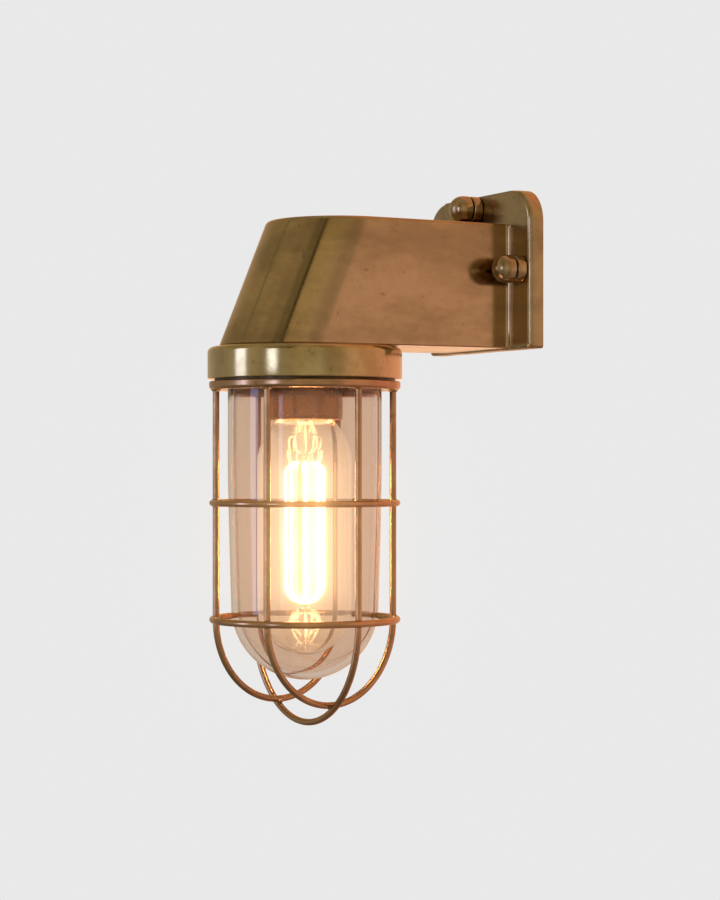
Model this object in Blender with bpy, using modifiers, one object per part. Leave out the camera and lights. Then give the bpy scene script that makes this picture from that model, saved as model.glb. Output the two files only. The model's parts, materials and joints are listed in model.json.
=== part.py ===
"""Ship lantern: a brass wall light with a round well glass inside a screw-on wire guard.

Frame: metres, +Z up. The origin is the centre of the back plate, on the wall plane. The arm reaches out
along -Y, and the lamp's vertical axis stands at y = LAMP_Y.
"""

import math

import bmesh
import bpy
from mathutils import Matrix, Vector

GAP = 0.0003  # clearance between pieces that touch on the real lantern
EPS = 0.001  # how far a cutter runs past the face that it opens

# Back plate and wall bracket
PLATE_WIDTH = 0.1030
PLATE_HEIGHT = 0.0790
PLATE_THICKNESS = 0.0080
PLATE_TOP_RADIUS = 0.0165
PLATE_FOOT_RADIUS = 0.0015
PLATE_EDGE_RADIUS = 0.0020
RECESS_RIM = 0.0037
RECESS_DEPTH = 0.0031
BRACKET_THICKNESS = 0.0025
BRACKET_CLEARANCE = 0.0005
BRACKET_SLOT_X = 0.0260
BRACKET_SLOT_HALF = 0.0050
BRACKET_SLOT_Z = (0.0075, 0.0125)
CABLE_HOLE_Z = -0.0160
CABLE_HOLE_RADIUS = 0.0085
GROMMET_BORE = 0.0045
GROMMET_LIP = 0.0108
GROMMET_LIP_HEIGHT = 0.0020
GROMMET_CHAMFER = 0.0008

# Studs, spacers and dome nuts: (x, z) of each stud on the plate
STUDS = {"top": (0.0, 0.0328), "near": (0.0433, -0.0004), "far": (-0.0433, -0.0004)}
STUD_RADIUS = 0.0030
STUD_BORE_RADIUS = 0.0031
STUD_LENGTH = 0.0212
SPACER_RADIUS = 0.0068
SPACER_LENGTH = 0.0048
NUT_RADIUS = 0.0069
NUT_RIM_Y = -0.0137
NUT_NECK = 0.0030
NUT_BORE_DEPTH = 0.0085
TURNED_EDGE = 0.0004  # chamfer on the nuts and spacers

# Lamp axis and arm casting
LAMP_Y = -0.1055
ARM_BOTTOM = -0.0388
ARM_TOP = 0.0231
ARM_NOSE_HALF_WIDTH = 0.0355
ARM_WALL_HALF_WIDTH = 0.0320
ARM_NOSE_BOTTOM = -0.0072  # nose arc's centre, measured from the lamp axis towards the wall
ARM_NOSE_TOP = 0.0183
ARM_FLARE = 0.0025
ARM_WALL = 0.0035
ARM_FLOOR = 0.0040
BOSS_RADIUS = 0.0045
BOSS_LENGTH = 0.0110
BOSS_END = 0.0020  # metal left past the screw hole
ARM_SCREW_X = 0.0245
ARM_SCREW_Z = (-0.0295, 0.0140)
SCREW_RADIUS = 0.0020
SCREW_HEAD_RADIUS = 0.0036
SCREW_HEAD_HEIGHT = 0.0020
SCREW_CHAMFER = 0.0005

# Wiring in the arm
BLOCK_Y = LAMP_Y + 0.0420
BLOCK_SIZE = (0.0260, 0.0140, 0.0100)
EARTH_SCREW = (0.0190, LAMP_Y + 0.0220)
SMALL_SCREW_RADIUS = 0.0015
SMALL_SCREW_HOLE = 0.0018
SMALL_SCREW_DEPTH = 0.0010  # metal left under the holes in the arm's floor
BLOCK_SCREW_HEAD = 0.0030
BLOCK_SCREW_LENGTH = 0.0145
EARTH_SCREW_HEAD = 0.0035
EARTH_SCREW_LENGTH = 0.0042
WIRE_THICKNESS = 0.0011
WIRE_SPACING = 0.0035  # live and neutral, from the lamp axis

# Gallery, under the arm's nose
GALLERY_RADIUS = 0.04785
GALLERY_TOP = ARM_BOTTOM - GAP
GALLERY_BOTTOM = -0.0550
GALLERY_ROOF = 0.0036
GALLERY_EDGE_RADIUS = 0.0030
GALLERY_CHAMFER = 0.0005
GALLERY_BORE = 0.0446
SEAT_RADIUS = 0.0360
SEAT_Z = -0.0465
WIRE_HOLE_RADIUS = 0.0070
GALLERY_SCREW_RING = 0.0260
GALLERY_SCREW_BITE = 0.0035  # into the arm's floor
BAR_THREAD_DEPTH = 0.0024

# Well glass and its gaskets
GLASS_RIM_RADIUS = 0.0423
GLASS_RIM_TOP = -0.0486
GLASS_RIM_HEIGHT = 0.0030
GLASS_RADIUS = 0.0379
GLASS_TAPER_Z = -0.0980
GLASS_END_RADIUS = 0.0363
GLASS_END_Z = -0.1661
GLASS_WALL = 0.0030
UPPER_GASKET_BORE = 0.0362
LOWER_GASKET_BORE = 0.0385

# Wire guard
GUARD_RADIUS = 0.0470
GUARD_BAND_TOP = -0.0570
GUARD_BOTTOM = -0.0602
GUARD_BORE = 0.0383
GUARD_EDGE_RADIUS = 0.0016
COLLAR_RADIUS = 0.0443
COLLAR_BORE = 0.0427
COLLAR_TOP = -0.0490
GUARD_SEAT_Z = -0.0534
WIRE_RADIUS = 0.00165
WIRE_CIRCLE = 0.0437
RING_RADIUS = 0.0017
RING_CIRCLE = 0.0453
RING_MID_Z = -0.1156
RING_LOWER_Z = -0.1728
HOOP_CENTRE_DEPTH = 0.0505
HOOP_SIDE_DEPTH = 0.0409
HOOP_TURN = math.radians(10.2)  # the guard's turn about the lamp axis when it is screwed home

# Lampholder
BAR_LENGTH = 0.0560
BAR_WIDTH = 0.0140
BAR_THICKNESS = 0.0015
BAR_TOP = GALLERY_TOP - GALLERY_ROOF - GAP
BAR_SCREW_X = 0.0230
BAR_SCREW_HEAD = 0.0030
BAR_SCREW_BITE = 0.0021
BAR_WIRE_HOLE = 0.0055
HOLDER_RADIUS = 0.0186
HOLDER_WALL = 0.0013
HOLDER_SPLIT_Z = -0.0526
HOLDER_BOTTOM = -0.0747
HOLDER_CAP_EDGE = (0.0030, 0.0009)  # the cap's rounded corner: its size, and its cut at the middle
HOLDER_CAP_ROOF = 0.0016
INSULATOR_RADIUS = 0.0168
INSULATOR_BORE = 0.0144
INSULATOR_TOP = -0.0496
INSULATOR_FLOOR = 0.0030
INSULATOR_SET_BACK = 0.0019  # insulator and shell stop short of the skirt's mouth
SHELL_SET_BACK = 0.0025
SHELL_HEADROOM = 0.0030
SHELL_RADIUS = 0.0141
SHELL_BORE = 0.0136
CONTACT_LOW = (-0.0030, -0.0080, -0.0009)  # from the lamp axis and the insulator's floor
CONTACT_HIGH = (0.0030, 0.0040, -GAP)

# Bulb
BULB_RADIUS = 0.0234
BULB_NECK_RADIUS = 0.0121
BULB_NECK_TOP = -0.0680
BULB_SHOULDER_TOP = -0.0740
BULB_SHOULDER_END = -0.0964
BULB_BOTTOM = -0.1903
BULB_WALL = 0.0010
CAP_RADIUS = 0.0132
CAP_WALL = 0.0005
CAP_TOP = -0.0583
FILAMENTS = 8
FILAMENT_RADIUS = 0.0007
FILAMENT_CIRCLE = 0.0092
FILAMENT_TOP = -0.0975
FILAMENT_BOTTOM = -0.1650
FILAMENT_ROUTE = ((0.62, 0.0), (1.0, 0.09), (1.0, 0.75), (0.42, 1.0))  # share of the circle, share of the drop
BULB_SWELL = 0.72  # how full the shoulder is: less is rounder
BULB_SHOULDER_STEPS = (0.1, 0.25, 0.45, 0.7, 1.0)
CAP_PROFILE = ((0.0072, 0.0), (0.0105, 0.0010), (CAP_RADIUS, 0.0028))  # radius, drop from the cap's top
CAP_INSIDE = ((CAP_RADIUS - CAP_WALL, 0.0032), (0.0103, 0.0016), (0.0072, 0.0006))
CAP_INSULATOR = ((0.0, 0.0026), (0.0050, 0.0026), (0.0095, 0.0), (0.0, 0.0))  # radius, height over the cap
TIP_CONTACT = ((0.0, 0.0011), (0.0030, 0.0008), (0.0042, 0.0), (0.0, 0.0))
STEM_TOP = BULB_NECK_TOP - 0.0010
STEM = (
    (0.0, STEM_TOP),
    (0.0030, STEM_TOP),
    (0.0034, BULB_SHOULDER_TOP),
    (0.0052, -0.0800),
    (0.0088, -0.0866),
    (0.0092, -0.0890),
    (0.0080, -0.0905),
    (0.0025, -0.0915),
    (0.0016, -0.0960),
    (0.0, -0.0960),
)
SUPPORT = (
    (0.0, -0.0966),
    (0.0012, -0.0966),
    (0.0012, -0.1668),
    (0.0030, -0.1672),
    (0.0030, -0.1692),
    (0.0, -0.1698),
)

# Facets round each kind of turned piece
LARGE, MEDIUM, SMALL = 36, 20, 12

FINISHES = {  # colour, metallic, roughness, alpha
    "brass": ((0.27, 0.17, 0.08), 1.0, 0.35, 1.0),
    "polished_brass": ((0.30, 0.22, 0.09), 1.0, 0.22, 1.0),
    "wire_brass": ((0.25, 0.13, 0.06), 1.0, 0.32, 1.0),
    "steel": ((0.55, 0.55, 0.56), 1.0, 0.40, 1.0),
    "copper": ((0.22, 0.10, 0.05), 1.0, 0.45, 1.0),
    "rubber": ((0.02, 0.02, 0.02), 0.0, 0.80, 1.0),
    "porcelain": ((0.80, 0.78, 0.72), 0.0, 0.25, 1.0),
    "plastic": ((0.75, 0.72, 0.65), 0.0, 0.50, 1.0),
    "nickel": ((0.60, 0.57, 0.50), 1.0, 0.25, 1.0),
    "black_glass": ((0.01, 0.01, 0.01), 0.0, 0.10, 1.0),
    "glass": ((0.95, 0.90, 0.84), 0.0, 0.03, 0.30),
    "bulb_glass": ((0.98, 0.90, 0.76), 0.0, 0.02, 0.25),
    "filament": ((1.00, 0.80, 0.45), 0.0, 0.50, 1.0),
    "live_wire": ((0.25, 0.10, 0.04), 0.0, 0.50, 1.0),
    "neutral_wire": ((0.04, 0.12, 0.45), 0.0, 0.50, 1.0),
    "earth_wire": ((0.15, 0.45, 0.08), 0.0, 0.50, 1.0),
}


# Scene and helpers ---------------------------------------------------------------------------------------


def clear_scene():
    for obj in list(bpy.data.objects):
        bpy.data.objects.remove(obj, do_unlink=True)


def new_collection(name):
    collection = bpy.data.collections.new(name)
    bpy.context.scene.collection.children.link(collection)
    return collection


clear_scene()
PARTS = new_collection("ship_lantern")
CUTTERS = new_collection("cutters")


def finish_material(name, finish):
    colour, metallic, roughness, alpha = FINISHES[finish]
    material = bpy.data.materials.new(name)
    material.use_nodes = True
    shader = material.node_tree.nodes["Principled BSDF"]
    shader.inputs["Base Color"].default_value = (*colour, 1.0)
    shader.inputs["Metallic"].default_value = metallic
    shader.inputs["Roughness"].default_value = roughness
    shader.inputs["Alpha"].default_value = alpha
    material.diffuse_color = (*colour, alpha)
    return material


def add_object(name, data, finish, parent=None, matrix=None):
    """Links a part, or a hidden cutter when there is no finish."""
    obj = bpy.data.objects.new(name, data)
    if finish is None:
        CUTTERS.objects.link(obj)
        obj.hide_render = True
        obj.display_type = "WIRE"
    else:
        PARTS.objects.link(obj)
        data.materials.append(finish_material(name, finish))
    if parent is not None:
        obj.parent = parent
    if matrix is not None:
        obj.matrix_local = matrix
    return obj


def empty(name, location, turn=0.0):
    holder = bpy.data.objects.new(name, None)
    PARTS.objects.link(holder)
    holder.location = location
    holder.rotation_euler = (0.0, 0.0, turn)
    return holder


def smooth(mesh, angle=35.0):
    mesh.shade_smooth()
    mesh.set_sharp_from_angle(angle=math.radians(angle))


def turned(name, profile, finish, parent=None, matrix=None, steps=MEDIUM):
    """A turned piece: a closed (radius, z) profile, down its outer side and back up inside, about local Z."""
    mesh = bpy.data.meshes.new(name)
    count = len(profile)
    edges = [(i, (i + 1) % count) for i in range(count)]
    if profile[0][0] == 0.0 and profile[-1][0] == 0.0:
        edges.pop()
    mesh.from_pydata([(r, 0.0, z) for r, z in profile], edges, [])
    obj = add_object(name, mesh, finish, parent, matrix)
    screw = obj.modifiers.new("turn", "SCREW")
    screw.angle = 2.0 * math.pi
    screw.steps = steps
    screw.render_steps = steps
    screw.use_merge_vertices = True
    screw.merge_threshold = 1e-6
    screw.use_smooth_shade = True
    return obj


def mesh_from(bm, name):
    mesh = bpy.data.meshes.new(name)
    bmesh.ops.recalc_face_normals(bm, faces=bm.faces)
    bm.to_mesh(mesh)
    bm.free()
    smooth(mesh)
    return mesh


def cylinder(name, radius, start, end, finish=None, parent=None, segments=SMALL):
    """A plain round bar from one point to the other."""
    start, end = Vector(start), Vector(end)
    bm = bmesh.new()
    bmesh.ops.create_cone(
        bm, cap_ends=True, segments=segments, radius1=radius, radius2=radius, depth=(end - start).length
    )
    turn = (end - start).to_track_quat("Z", "Y").to_matrix().to_4x4()
    return add_object(name, mesh_from(bm, name), finish, parent, Matrix.Translation((start + end) / 2) @ turn)


def box(name, low, high, finish=None, parent=None, bevel=0.0):
    low, high = Vector(low), Vector(high)
    bm = bmesh.new()
    bmesh.ops.create_cube(bm, size=1.0)
    bmesh.ops.scale(bm, vec=high - low, verts=bm.verts)
    if bevel:
        bmesh.ops.bevel(
            bm, geom=list(bm.edges), offset=bevel, segments=1, affect="EDGES", profile=0.5
        )
    return add_object(name, mesh_from(bm, name), finish, parent, Matrix.Translation((low + high) / 2))


def solid_from_curve(curve, name, finish, parent, matrix):
    """The curve's evaluated mesh as an object of its own, with its caps welded, and the curve removed."""
    bpy.context.view_layer.update()
    graph = bpy.context.evaluated_depsgraph_get()
    mesh = bpy.data.meshes.new_from_object(curve.evaluated_get(graph))
    bm = bmesh.new()
    bm.from_mesh(mesh)
    bmesh.ops.remove_doubles(bm, verts=bm.verts, dist=1e-6)
    bmesh.ops.recalc_face_normals(bm, faces=bm.faces)
    bm.to_mesh(mesh)
    bm.free()
    mesh.materials.clear()
    smooth(mesh)
    data = curve.data
    bpy.data.objects.remove(curve, do_unlink=True)
    bpy.data.curves.remove(data)
    return add_object(name, mesh, finish, parent, matrix)


def curve_object(name, points, cyclic=False, dimensions="3D"):
    curve = bpy.data.curves.new(name, "CURVE")
    curve.dimensions = dimensions
    spline = curve.splines.new("POLY")
    spline.points.add(len(points) - 1)
    for point, place in zip(spline.points, points):
        point.co = (*place, 1.0)
    spline.use_cyclic_u = cyclic
    obj = bpy.data.objects.new(name, curve)
    CUTTERS.objects.link(obj)
    return obj


def tube(name, points, radius, finish=None, parent=None, matrix=None):
    """A round wire along a list of points."""
    obj = curve_object(name + "_path", points)
    obj.data.bevel_depth = radius
    obj.data.bevel_resolution = 2
    obj.data.use_fill_caps = True
    return solid_from_curve(obj, name, finish, parent, matrix)


def slab(name, outline, front, back, finish=None):
    """A flat (x, z) outline standing parallel to the wall, from y = front to y = back."""
    obj = curve_object(name + "_outline", [(x, z, 0.0) for x, z in outline], True, "2D")
    obj.data.fill_mode = "BOTH"
    obj.data.extrude = (back - front) / 2
    upright = Matrix.Rotation(math.pi / 2, 4, "X")
    place = Matrix.Translation((0.0, (front + back) / 2, 0.0)) @ upright
    return solid_from_curve(obj, name, finish, None, place)


def cut(target, *cutters):
    for cutter in cutters:
        boolean = target.modifiers.new("cut " + cutter.name, "BOOLEAN")
        boolean.operation = "DIFFERENCE"
        boolean.object = cutter


def join(target, *additions):
    for addition in additions:
        boolean = target.modifiers.new("join " + addition.name, "BOOLEAN")
        boolean.operation = "UNION"
        boolean.object = addition


def arc(centre, radius, start, end, count):
    """Points of a round stretch, from one angle to another in degrees, both ends included."""
    angles = [math.radians(start + (end - start) * i / count) for i in range(count + 1)]
    return [(centre[0] + radius * math.cos(a), centre[1] + radius * math.sin(a)) for a in angles]


# Back plate, bracket, studs and nuts ---------------------------------------------------------------------


def plate_outline(inset):
    """Upright plate with a square foot and rounded top corners, all round smaller by the inset."""
    half = PLATE_WIDTH / 2 - inset
    top = PLATE_HEIGHT / 2 - inset
    bottom = -PLATE_HEIGHT / 2 + inset
    foot, shoulder = PLATE_FOOT_RADIUS, PLATE_TOP_RADIUS - inset
    right = arc((half - foot, bottom + foot), foot, -90, 0, 2)
    right += arc((half - shoulder, top - shoulder), shoulder, 0, 90, 6)
    return right + [(-x, z) for x, z in reversed(right)]


def stud_holes(name, radius):
    for key, (x, z) in STUDS.items():
        yield cylinder(
            f"{name}_{key}_hole", radius, (x, EPS, z), (x, -PLATE_THICKNESS - EPS, z)
        )


def back_plate():
    plate = slab("back_plate", plate_outline(0.0), -PLATE_THICKNESS, 0.0, "brass")
    weights = plate.data.attributes.new("bevel_weight_edge", "FLOAT", "EDGE")
    for edge, weight in zip(plate.data.edges, weights.data):
        ends = [plate.data.vertices[i].co.z for i in edge.vertices]
        weight.value = float(min(ends) > 0.0)
    rounding = plate.modifiers.new("front edge", "BEVEL")
    rounding.limit_method = "WEIGHT"
    rounding.width = PLATE_EDGE_RADIUS
    rounding.segments = 3
    recess = slab("recess", plate_outline(RECESS_RIM), -RECESS_DEPTH, EPS)
    cable = cylinder(
        "plate_cable_hole",
        CABLE_HOLE_RADIUS,
        (0, EPS, CABLE_HOLE_Z),
        (0, -PLATE_THICKNESS - EPS, CABLE_HOLE_Z),
    )
    cut(plate, recess, cable, *stud_holes("plate", STUD_RADIUS + GAP))
    for name, x, z in arm_screw_places():
        hole = cylinder(f"plate_{name}_hole", SCREW_RADIUS + GAP, (x, EPS, z), (x, -PLATE_THICKNESS - EPS, z))
        pocket_y = -RECESS_DEPTH - SCREW_HEAD_HEIGHT - GAP
        pocket = cylinder(f"plate_{name}_pocket", SCREW_HEAD_RADIUS + GAP, (x, EPS, z), (x, pocket_y, z))
        cut(plate, hole, pocket)


def wall_bracket():
    outline = plate_outline(RECESS_RIM + BRACKET_CLEARANCE)
    bracket = slab("wall_bracket", outline, -BRACKET_THICKNESS, 0.0, "steel")
    cable = cylinder(
        "bracket_cable_hole",
        CABLE_HOLE_RADIUS - EPS,
        (0, EPS, CABLE_HOLE_Z),
        (0, -PLATE_THICKNESS, CABLE_HOLE_Z),
    )
    cut(bracket, cable, *stud_holes("bracket", STUD_RADIUS + GAP))
    low, high = BRACKET_SLOT_Z
    for side, x in (("near", BRACKET_SLOT_X), ("far", -BRACKET_SLOT_X)):
        left, right = x - BRACKET_SLOT_HALF, x + BRACKET_SLOT_HALF
        cut(bracket, box(f"bracket_slot_{side}", (left, -BRACKET_THICKNESS - EPS, low), (right, EPS, high)))


def studs_and_nuts():
    """Each stud stands in the bracket, and carries a spacer and a dome nut that turn about the stud's axis."""
    out = Matrix.Rotation(math.pi / 2, 4, "X")  # local +Z along -Y, away from the wall
    for key, (x, z) in STUDS.items():
        axis = empty(f"stud_axis_{key}", (x, 0.0, z))
        cylinder(f"stud_{key}", STUD_RADIUS, (0, -GAP, 0), (0, -STUD_LENGTH - GAP, 0), "steel", axis)
        seat = PLATE_THICKNESS + GAP
        spacer = [
            (STUD_BORE_RADIUS, seat + SPACER_LENGTH),
            (SPACER_RADIUS - TURNED_EDGE, seat + SPACER_LENGTH),
            (SPACER_RADIUS, seat + SPACER_LENGTH - TURNED_EDGE),
            (SPACER_RADIUS, seat),
            (STUD_BORE_RADIUS, seat),
        ]
        turned(f"nut_spacer_{key}", spacer, "polished_brass", axis, out, SMALL)
        rim = -NUT_RIM_Y
        dome = arc((0.0, rim + NUT_NECK), NUT_RADIUS, 90, 0, 6)
        dome[0] = (0.0, rim + NUT_NECK + NUT_RADIUS)
        bore = [
            (NUT_RADIUS - TURNED_EDGE, rim),
            (STUD_BORE_RADIUS, rim),
            (STUD_BORE_RADIUS, rim + NUT_BORE_DEPTH),
            (0.0, rim + NUT_BORE_DEPTH),
        ]
        profile = dome + [(NUT_RADIUS, rim + TURNED_EDGE)] + bore
        turned(f"dome_nut_{key}", profile, "polished_brass", axis, out, SMALL)


def cable_grommet():
    """Rubber bush in the plate's cable hole, with a lip on the arm's side."""
    front, back = PLATE_THICKNESS, RECESS_DEPTH + GAP
    top = front + GROMMET_LIP_HEIGHT
    profile = [
        (GROMMET_LIP - GROMMET_CHAMFER, top),
        (GROMMET_LIP, top - GROMMET_CHAMFER),
        (GROMMET_LIP, front + GAP),
        (CABLE_HOLE_RADIUS - GAP, front + GAP),
        (CABLE_HOLE_RADIUS - GAP, back),
        (GROMMET_BORE, back),
        (GROMMET_BORE, top),
    ]
    place = Matrix.Translation((0, 0, CABLE_HOLE_Z)) @ Matrix.Rotation(math.pi / 2, 4, "X")
    turned("cable_grommet", profile, "rubber", None, place, SMALL)


# Arm -----------------------------------------------------------------------------------------------------


def arm_screw_places():
    """Name, x and z of the four screws that hold the arm to the plate."""
    places = [(x, z) for x in (ARM_SCREW_X, -ARM_SCREW_X) for z in ARM_SCREW_Z]
    return [(f"arm_screw_{i + 1}", x, z) for i, (x, z) in enumerate(places)]


def arm_section(share, inset, wall_y, flare, count=9):
    """The arm in plan at a share of its height: straight, slightly tapered sides and a half-round nose."""
    centre = LAMP_Y + ARM_NOSE_BOTTOM + (ARM_NOSE_TOP - ARM_NOSE_BOTTOM) * share
    nose = ARM_NOSE_HALF_WIDTH - inset
    wall = ARM_WALL_HALF_WIDTH - inset
    side = [(wall, wall_y)]
    if flare:
        corner = (wall + flare, wall_y - flare)
        side = [(x, y) for x, y in arc(corner, flare, 90, 180, 3)]
    half = side + arc((0.0, centre), nose, 0, -90, count)
    return half + [(-x, y) for x, y in reversed(half[:-1])]


def arm_loft(name, low, high, inset, wall_y, flare, finish=None):
    """A loft between the section at one height and the section at another."""
    height = ARM_TOP - ARM_BOTTOM
    bm = bmesh.new()
    rings = []
    for z in (low, high):
        share = (z - ARM_BOTTOM) / height
        rings.append([bm.verts.new((x, y, z)) for x, y in arm_section(share, inset, wall_y, flare)])
    bottom, top = rings
    count = len(bottom)
    for i in range(count):
        j = (i + 1) % count
        bm.faces.new((bottom[i], bottom[j], top[j], top[i]))
    bm.faces.new(bottom)
    bm.faces.new(list(reversed(top)))
    return add_object(name, mesh_from(bm, name), finish)


def arm_casting():
    """Hollow brass casting, open to the plate behind, with screw bosses and a floor over the gallery."""
    wall_y = -PLATE_THICKNESS - GAP
    arm = arm_loft("arm_casting", ARM_BOTTOM, ARM_TOP, 0.0, wall_y, ARM_FLARE, "brass")
    hollow = arm_loft("arm_hollow", ARM_BOTTOM + ARM_FLOOR, ARM_TOP - ARM_WALL, ARM_WALL, wall_y + EPS, 0.0)
    cut(arm, hollow)
    for name, x, z in arm_screw_places():
        join(arm, cylinder(f"{name}_boss", BOSS_RADIUS, (x, wall_y, z), (x, wall_y - BOSS_LENGTH, z)))
    for name, x, z in arm_screw_places():
        end = wall_y - BOSS_LENGTH + BOSS_END
        cut(arm, cylinder(f"{name}_thread", SCREW_RADIUS + GAP, (x, EPS, z), (x, end, z)))
    floor = ARM_BOTTOM + ARM_FLOOR
    cut(
        arm,
        cylinder("arm_wire_hole", WIRE_HOLE_RADIUS, (0, LAMP_Y, ARM_BOTTOM - EPS), (0, LAMP_Y, floor + EPS)),
    )
    for name, x, y in gallery_screw_places():
        ends = (x, y, ARM_BOTTOM - EPS), (x, y, floor + EPS)
        cut(arm, cylinder(f"arm_{name}_hole", SCREW_RADIUS + GAP, *ends))
    for name, x, y in (("block_screw", 0.0, BLOCK_Y), ("earth_screw", *EARTH_SCREW)):
        low = ARM_BOTTOM + SMALL_SCREW_DEPTH
        cut(arm, cylinder(f"arm_{name}_hole", SMALL_SCREW_HOLE, (x, y, low), (x, y, floor + EPS)))


def arm_screws():
    for name, x, z in arm_screw_places():
        head = RECESS_DEPTH
        length = PLATE_THICKNESS + BOSS_LENGTH - BOSS_END - EPS
        profile = screw_profile(SCREW_RADIUS, SCREW_HEAD_RADIUS, head, head + SCREW_HEAD_HEIGHT, length)
        place = Matrix.Translation((x, 0, z)) @ Matrix.Rotation(math.pi / 2, 4, "X")
        turned(name, profile, "steel", None, place, SMALL)


def screw_profile(radius, head_radius, head_low, head_high, end):
    """A screw that points along +Z of its own axis: head first, then the shank."""
    return [
        (0.0, end),
        (radius - SCREW_CHAMFER, end),
        (radius, end - SCREW_CHAMFER),
        (radius, head_high),
        (head_radius, head_high),
        (head_radius, head_low + SCREW_CHAMFER),
        (head_radius - SCREW_CHAMFER, head_low),
        (0.0, head_low),
    ]


# Wiring in the arm ---------------------------------------------------------------------------------------


def terminal_block():
    floor = ARM_BOTTOM + ARM_FLOOR + GAP
    wide, deep, high = BLOCK_SIZE
    block = box(
        "terminal_block",
        (-wide / 2, BLOCK_Y - deep / 2, floor),
        (wide / 2, BLOCK_Y + deep / 2, floor + high),
        "plastic",
        bevel=0.0010,
    )
    ends = (0, BLOCK_Y, floor - EPS), (0, BLOCK_Y, floor + high + EPS)
    cut(block, cylinder("block_hole", SMALL_SCREW_HOLE, *ends))
    upside_down = Matrix.Rotation(math.pi, 4, "X")
    place = Matrix.Translation((0, BLOCK_Y, floor + high + GAP + SCREW_HEAD_HEIGHT)) @ upside_down
    profile = screw_profile(SMALL_SCREW_RADIUS, BLOCK_SCREW_HEAD, 0.0, SCREW_HEAD_HEIGHT, BLOCK_SCREW_LENGTH)
    turned("terminal_block_screw", profile, "steel", None, place, SMALL)
    x, y = EARTH_SCREW
    place = Matrix.Translation((x, y, floor + SCREW_HEAD_HEIGHT)) @ upside_down
    profile = screw_profile(SMALL_SCREW_RADIUS, EARTH_SCREW_HEAD, 0.0, SCREW_HEAD_HEIGHT, EARTH_SCREW_LENGTH)
    turned("earth_screw", profile, "polished_brass", None, place, SMALL)


def smooth_route(points, steps=3):
    """Points of a smooth curve through the route's own points."""
    route = [Vector(p) for p in points]
    padded = [2 * route[0] - route[1], *route, 2 * route[-1] - route[-2]]
    found = []
    for i in range(1, len(padded) - 2):
        a, b, c, d = padded[i - 1 : i + 3]
        for step in range(steps):
            t = step / steps
            bend, twist = 2 * a - 5 * b + 4 * c - d, 3 * b - a - 3 * c + d
            found.append(0.5 * (2 * b + (c - a) * t + bend * t**2 + twist * t**3))
    return found + [route[-1]]


def inner_wires():
    """Live and neutral run from the block down to the lampholder, and earth to its screw."""
    floor = ARM_BOTTOM + ARM_FLOOR
    front = BLOCK_Y - BLOCK_SIZE[1] / 2 - GAP
    for name, x in (("live_wire", WIRE_SPACING), ("neutral_wire", -WIRE_SPACING)):
        route = [
            (x * 2, front, floor + 0.005),
            (x * 1.9, front - 0.012, floor + 0.007),
            (x * 1.3, LAMP_Y + 0.008, floor + 0.006),
            (x, LAMP_Y + 0.001, floor - 0.001),
            (x, LAMP_Y, BAR_TOP),
            (x, LAMP_Y, INSULATOR_TOP + GAP),
        ]
        tube(name, smooth_route(route), WIRE_THICKNESS, name)
    x, y = EARTH_SCREW
    route = [
        (0.0105, front - 0.0002, floor + 0.005),
        (0.0106, front - 0.0022, floor + 0.006),
        (x - 0.002, y + 0.0080, floor + 0.006),
        (x, y + 0.0050, floor + 0.002),
    ]
    tube("earth_wire", smooth_route(route), WIRE_THICKNESS, "earth_wire")


# Gallery and lampholder ----------------------------------------------------------------------------------


def gallery_screw_places():
    found = []
    for i, angle in enumerate((30, 150, 270)):
        turn = math.radians(angle)
        x = GALLERY_SCREW_RING * math.cos(turn)
        y = LAMP_Y + GALLERY_SCREW_RING * math.sin(turn)
        found.append((f"gallery_screw_{i + 1}", x, y))
    return found


def gallery():
    """Round collar under the nose: its bore takes the guard's collar, and its seat takes the upper gasket."""
    edge = GALLERY_EDGE_RADIUS
    roof = GALLERY_TOP - GALLERY_ROOF
    outer = arc((GALLERY_RADIUS - edge, GALLERY_TOP - edge), edge, 90, 0, 3)
    profile = [(WIRE_HOLE_RADIUS, GALLERY_TOP), *outer]
    profile += [
        (GALLERY_RADIUS, GALLERY_BOTTOM + GALLERY_CHAMFER),
        (GALLERY_RADIUS - GALLERY_CHAMFER, GALLERY_BOTTOM),
        (GALLERY_BORE, GALLERY_BOTTOM),
        (GALLERY_BORE, SEAT_Z),
        (SEAT_RADIUS, SEAT_Z),
        (SEAT_RADIUS, roof),
        (WIRE_HOLE_RADIUS, roof),
    ]
    body = turned("gallery", profile, "polished_brass", None, Matrix.Translation((0, LAMP_Y, 0)), LARGE)
    for name, x, y in gallery_screw_places():
        cut(body, cylinder(f"{name}_hole", SCREW_RADIUS + GAP, (x, y, roof - EPS), (x, y, GALLERY_TOP + EPS)))
    for side, x in (("near", BAR_SCREW_X), ("far", -BAR_SCREW_X)):
        end = (x, LAMP_Y, roof + BAR_THREAD_DEPTH)
        cut(body, cylinder(f"bar_{side}_thread", SCREW_RADIUS + GAP, (x, LAMP_Y, roof - EPS), end))


def gallery_screws():
    head = GALLERY_TOP - GALLERY_ROOF - GAP - SCREW_HEAD_HEIGHT
    for name, x, y in gallery_screw_places():
        length = ARM_BOTTOM + GALLERY_SCREW_BITE - head
        profile = screw_profile(SCREW_RADIUS, SCREW_HEAD_RADIUS, 0.0, SCREW_HEAD_HEIGHT, length)
        turned(name, profile, "steel", None, Matrix.Translation((x, y, head)), SMALL)


def gasket(name, inner, outer, low, high, parent=None):
    profile = [(outer, high), (outer, low), (inner, low), (inner, high)]
    turned(name, profile, "rubber", parent, Matrix.Translation((0, LAMP_Y, 0)), LARGE)


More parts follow.
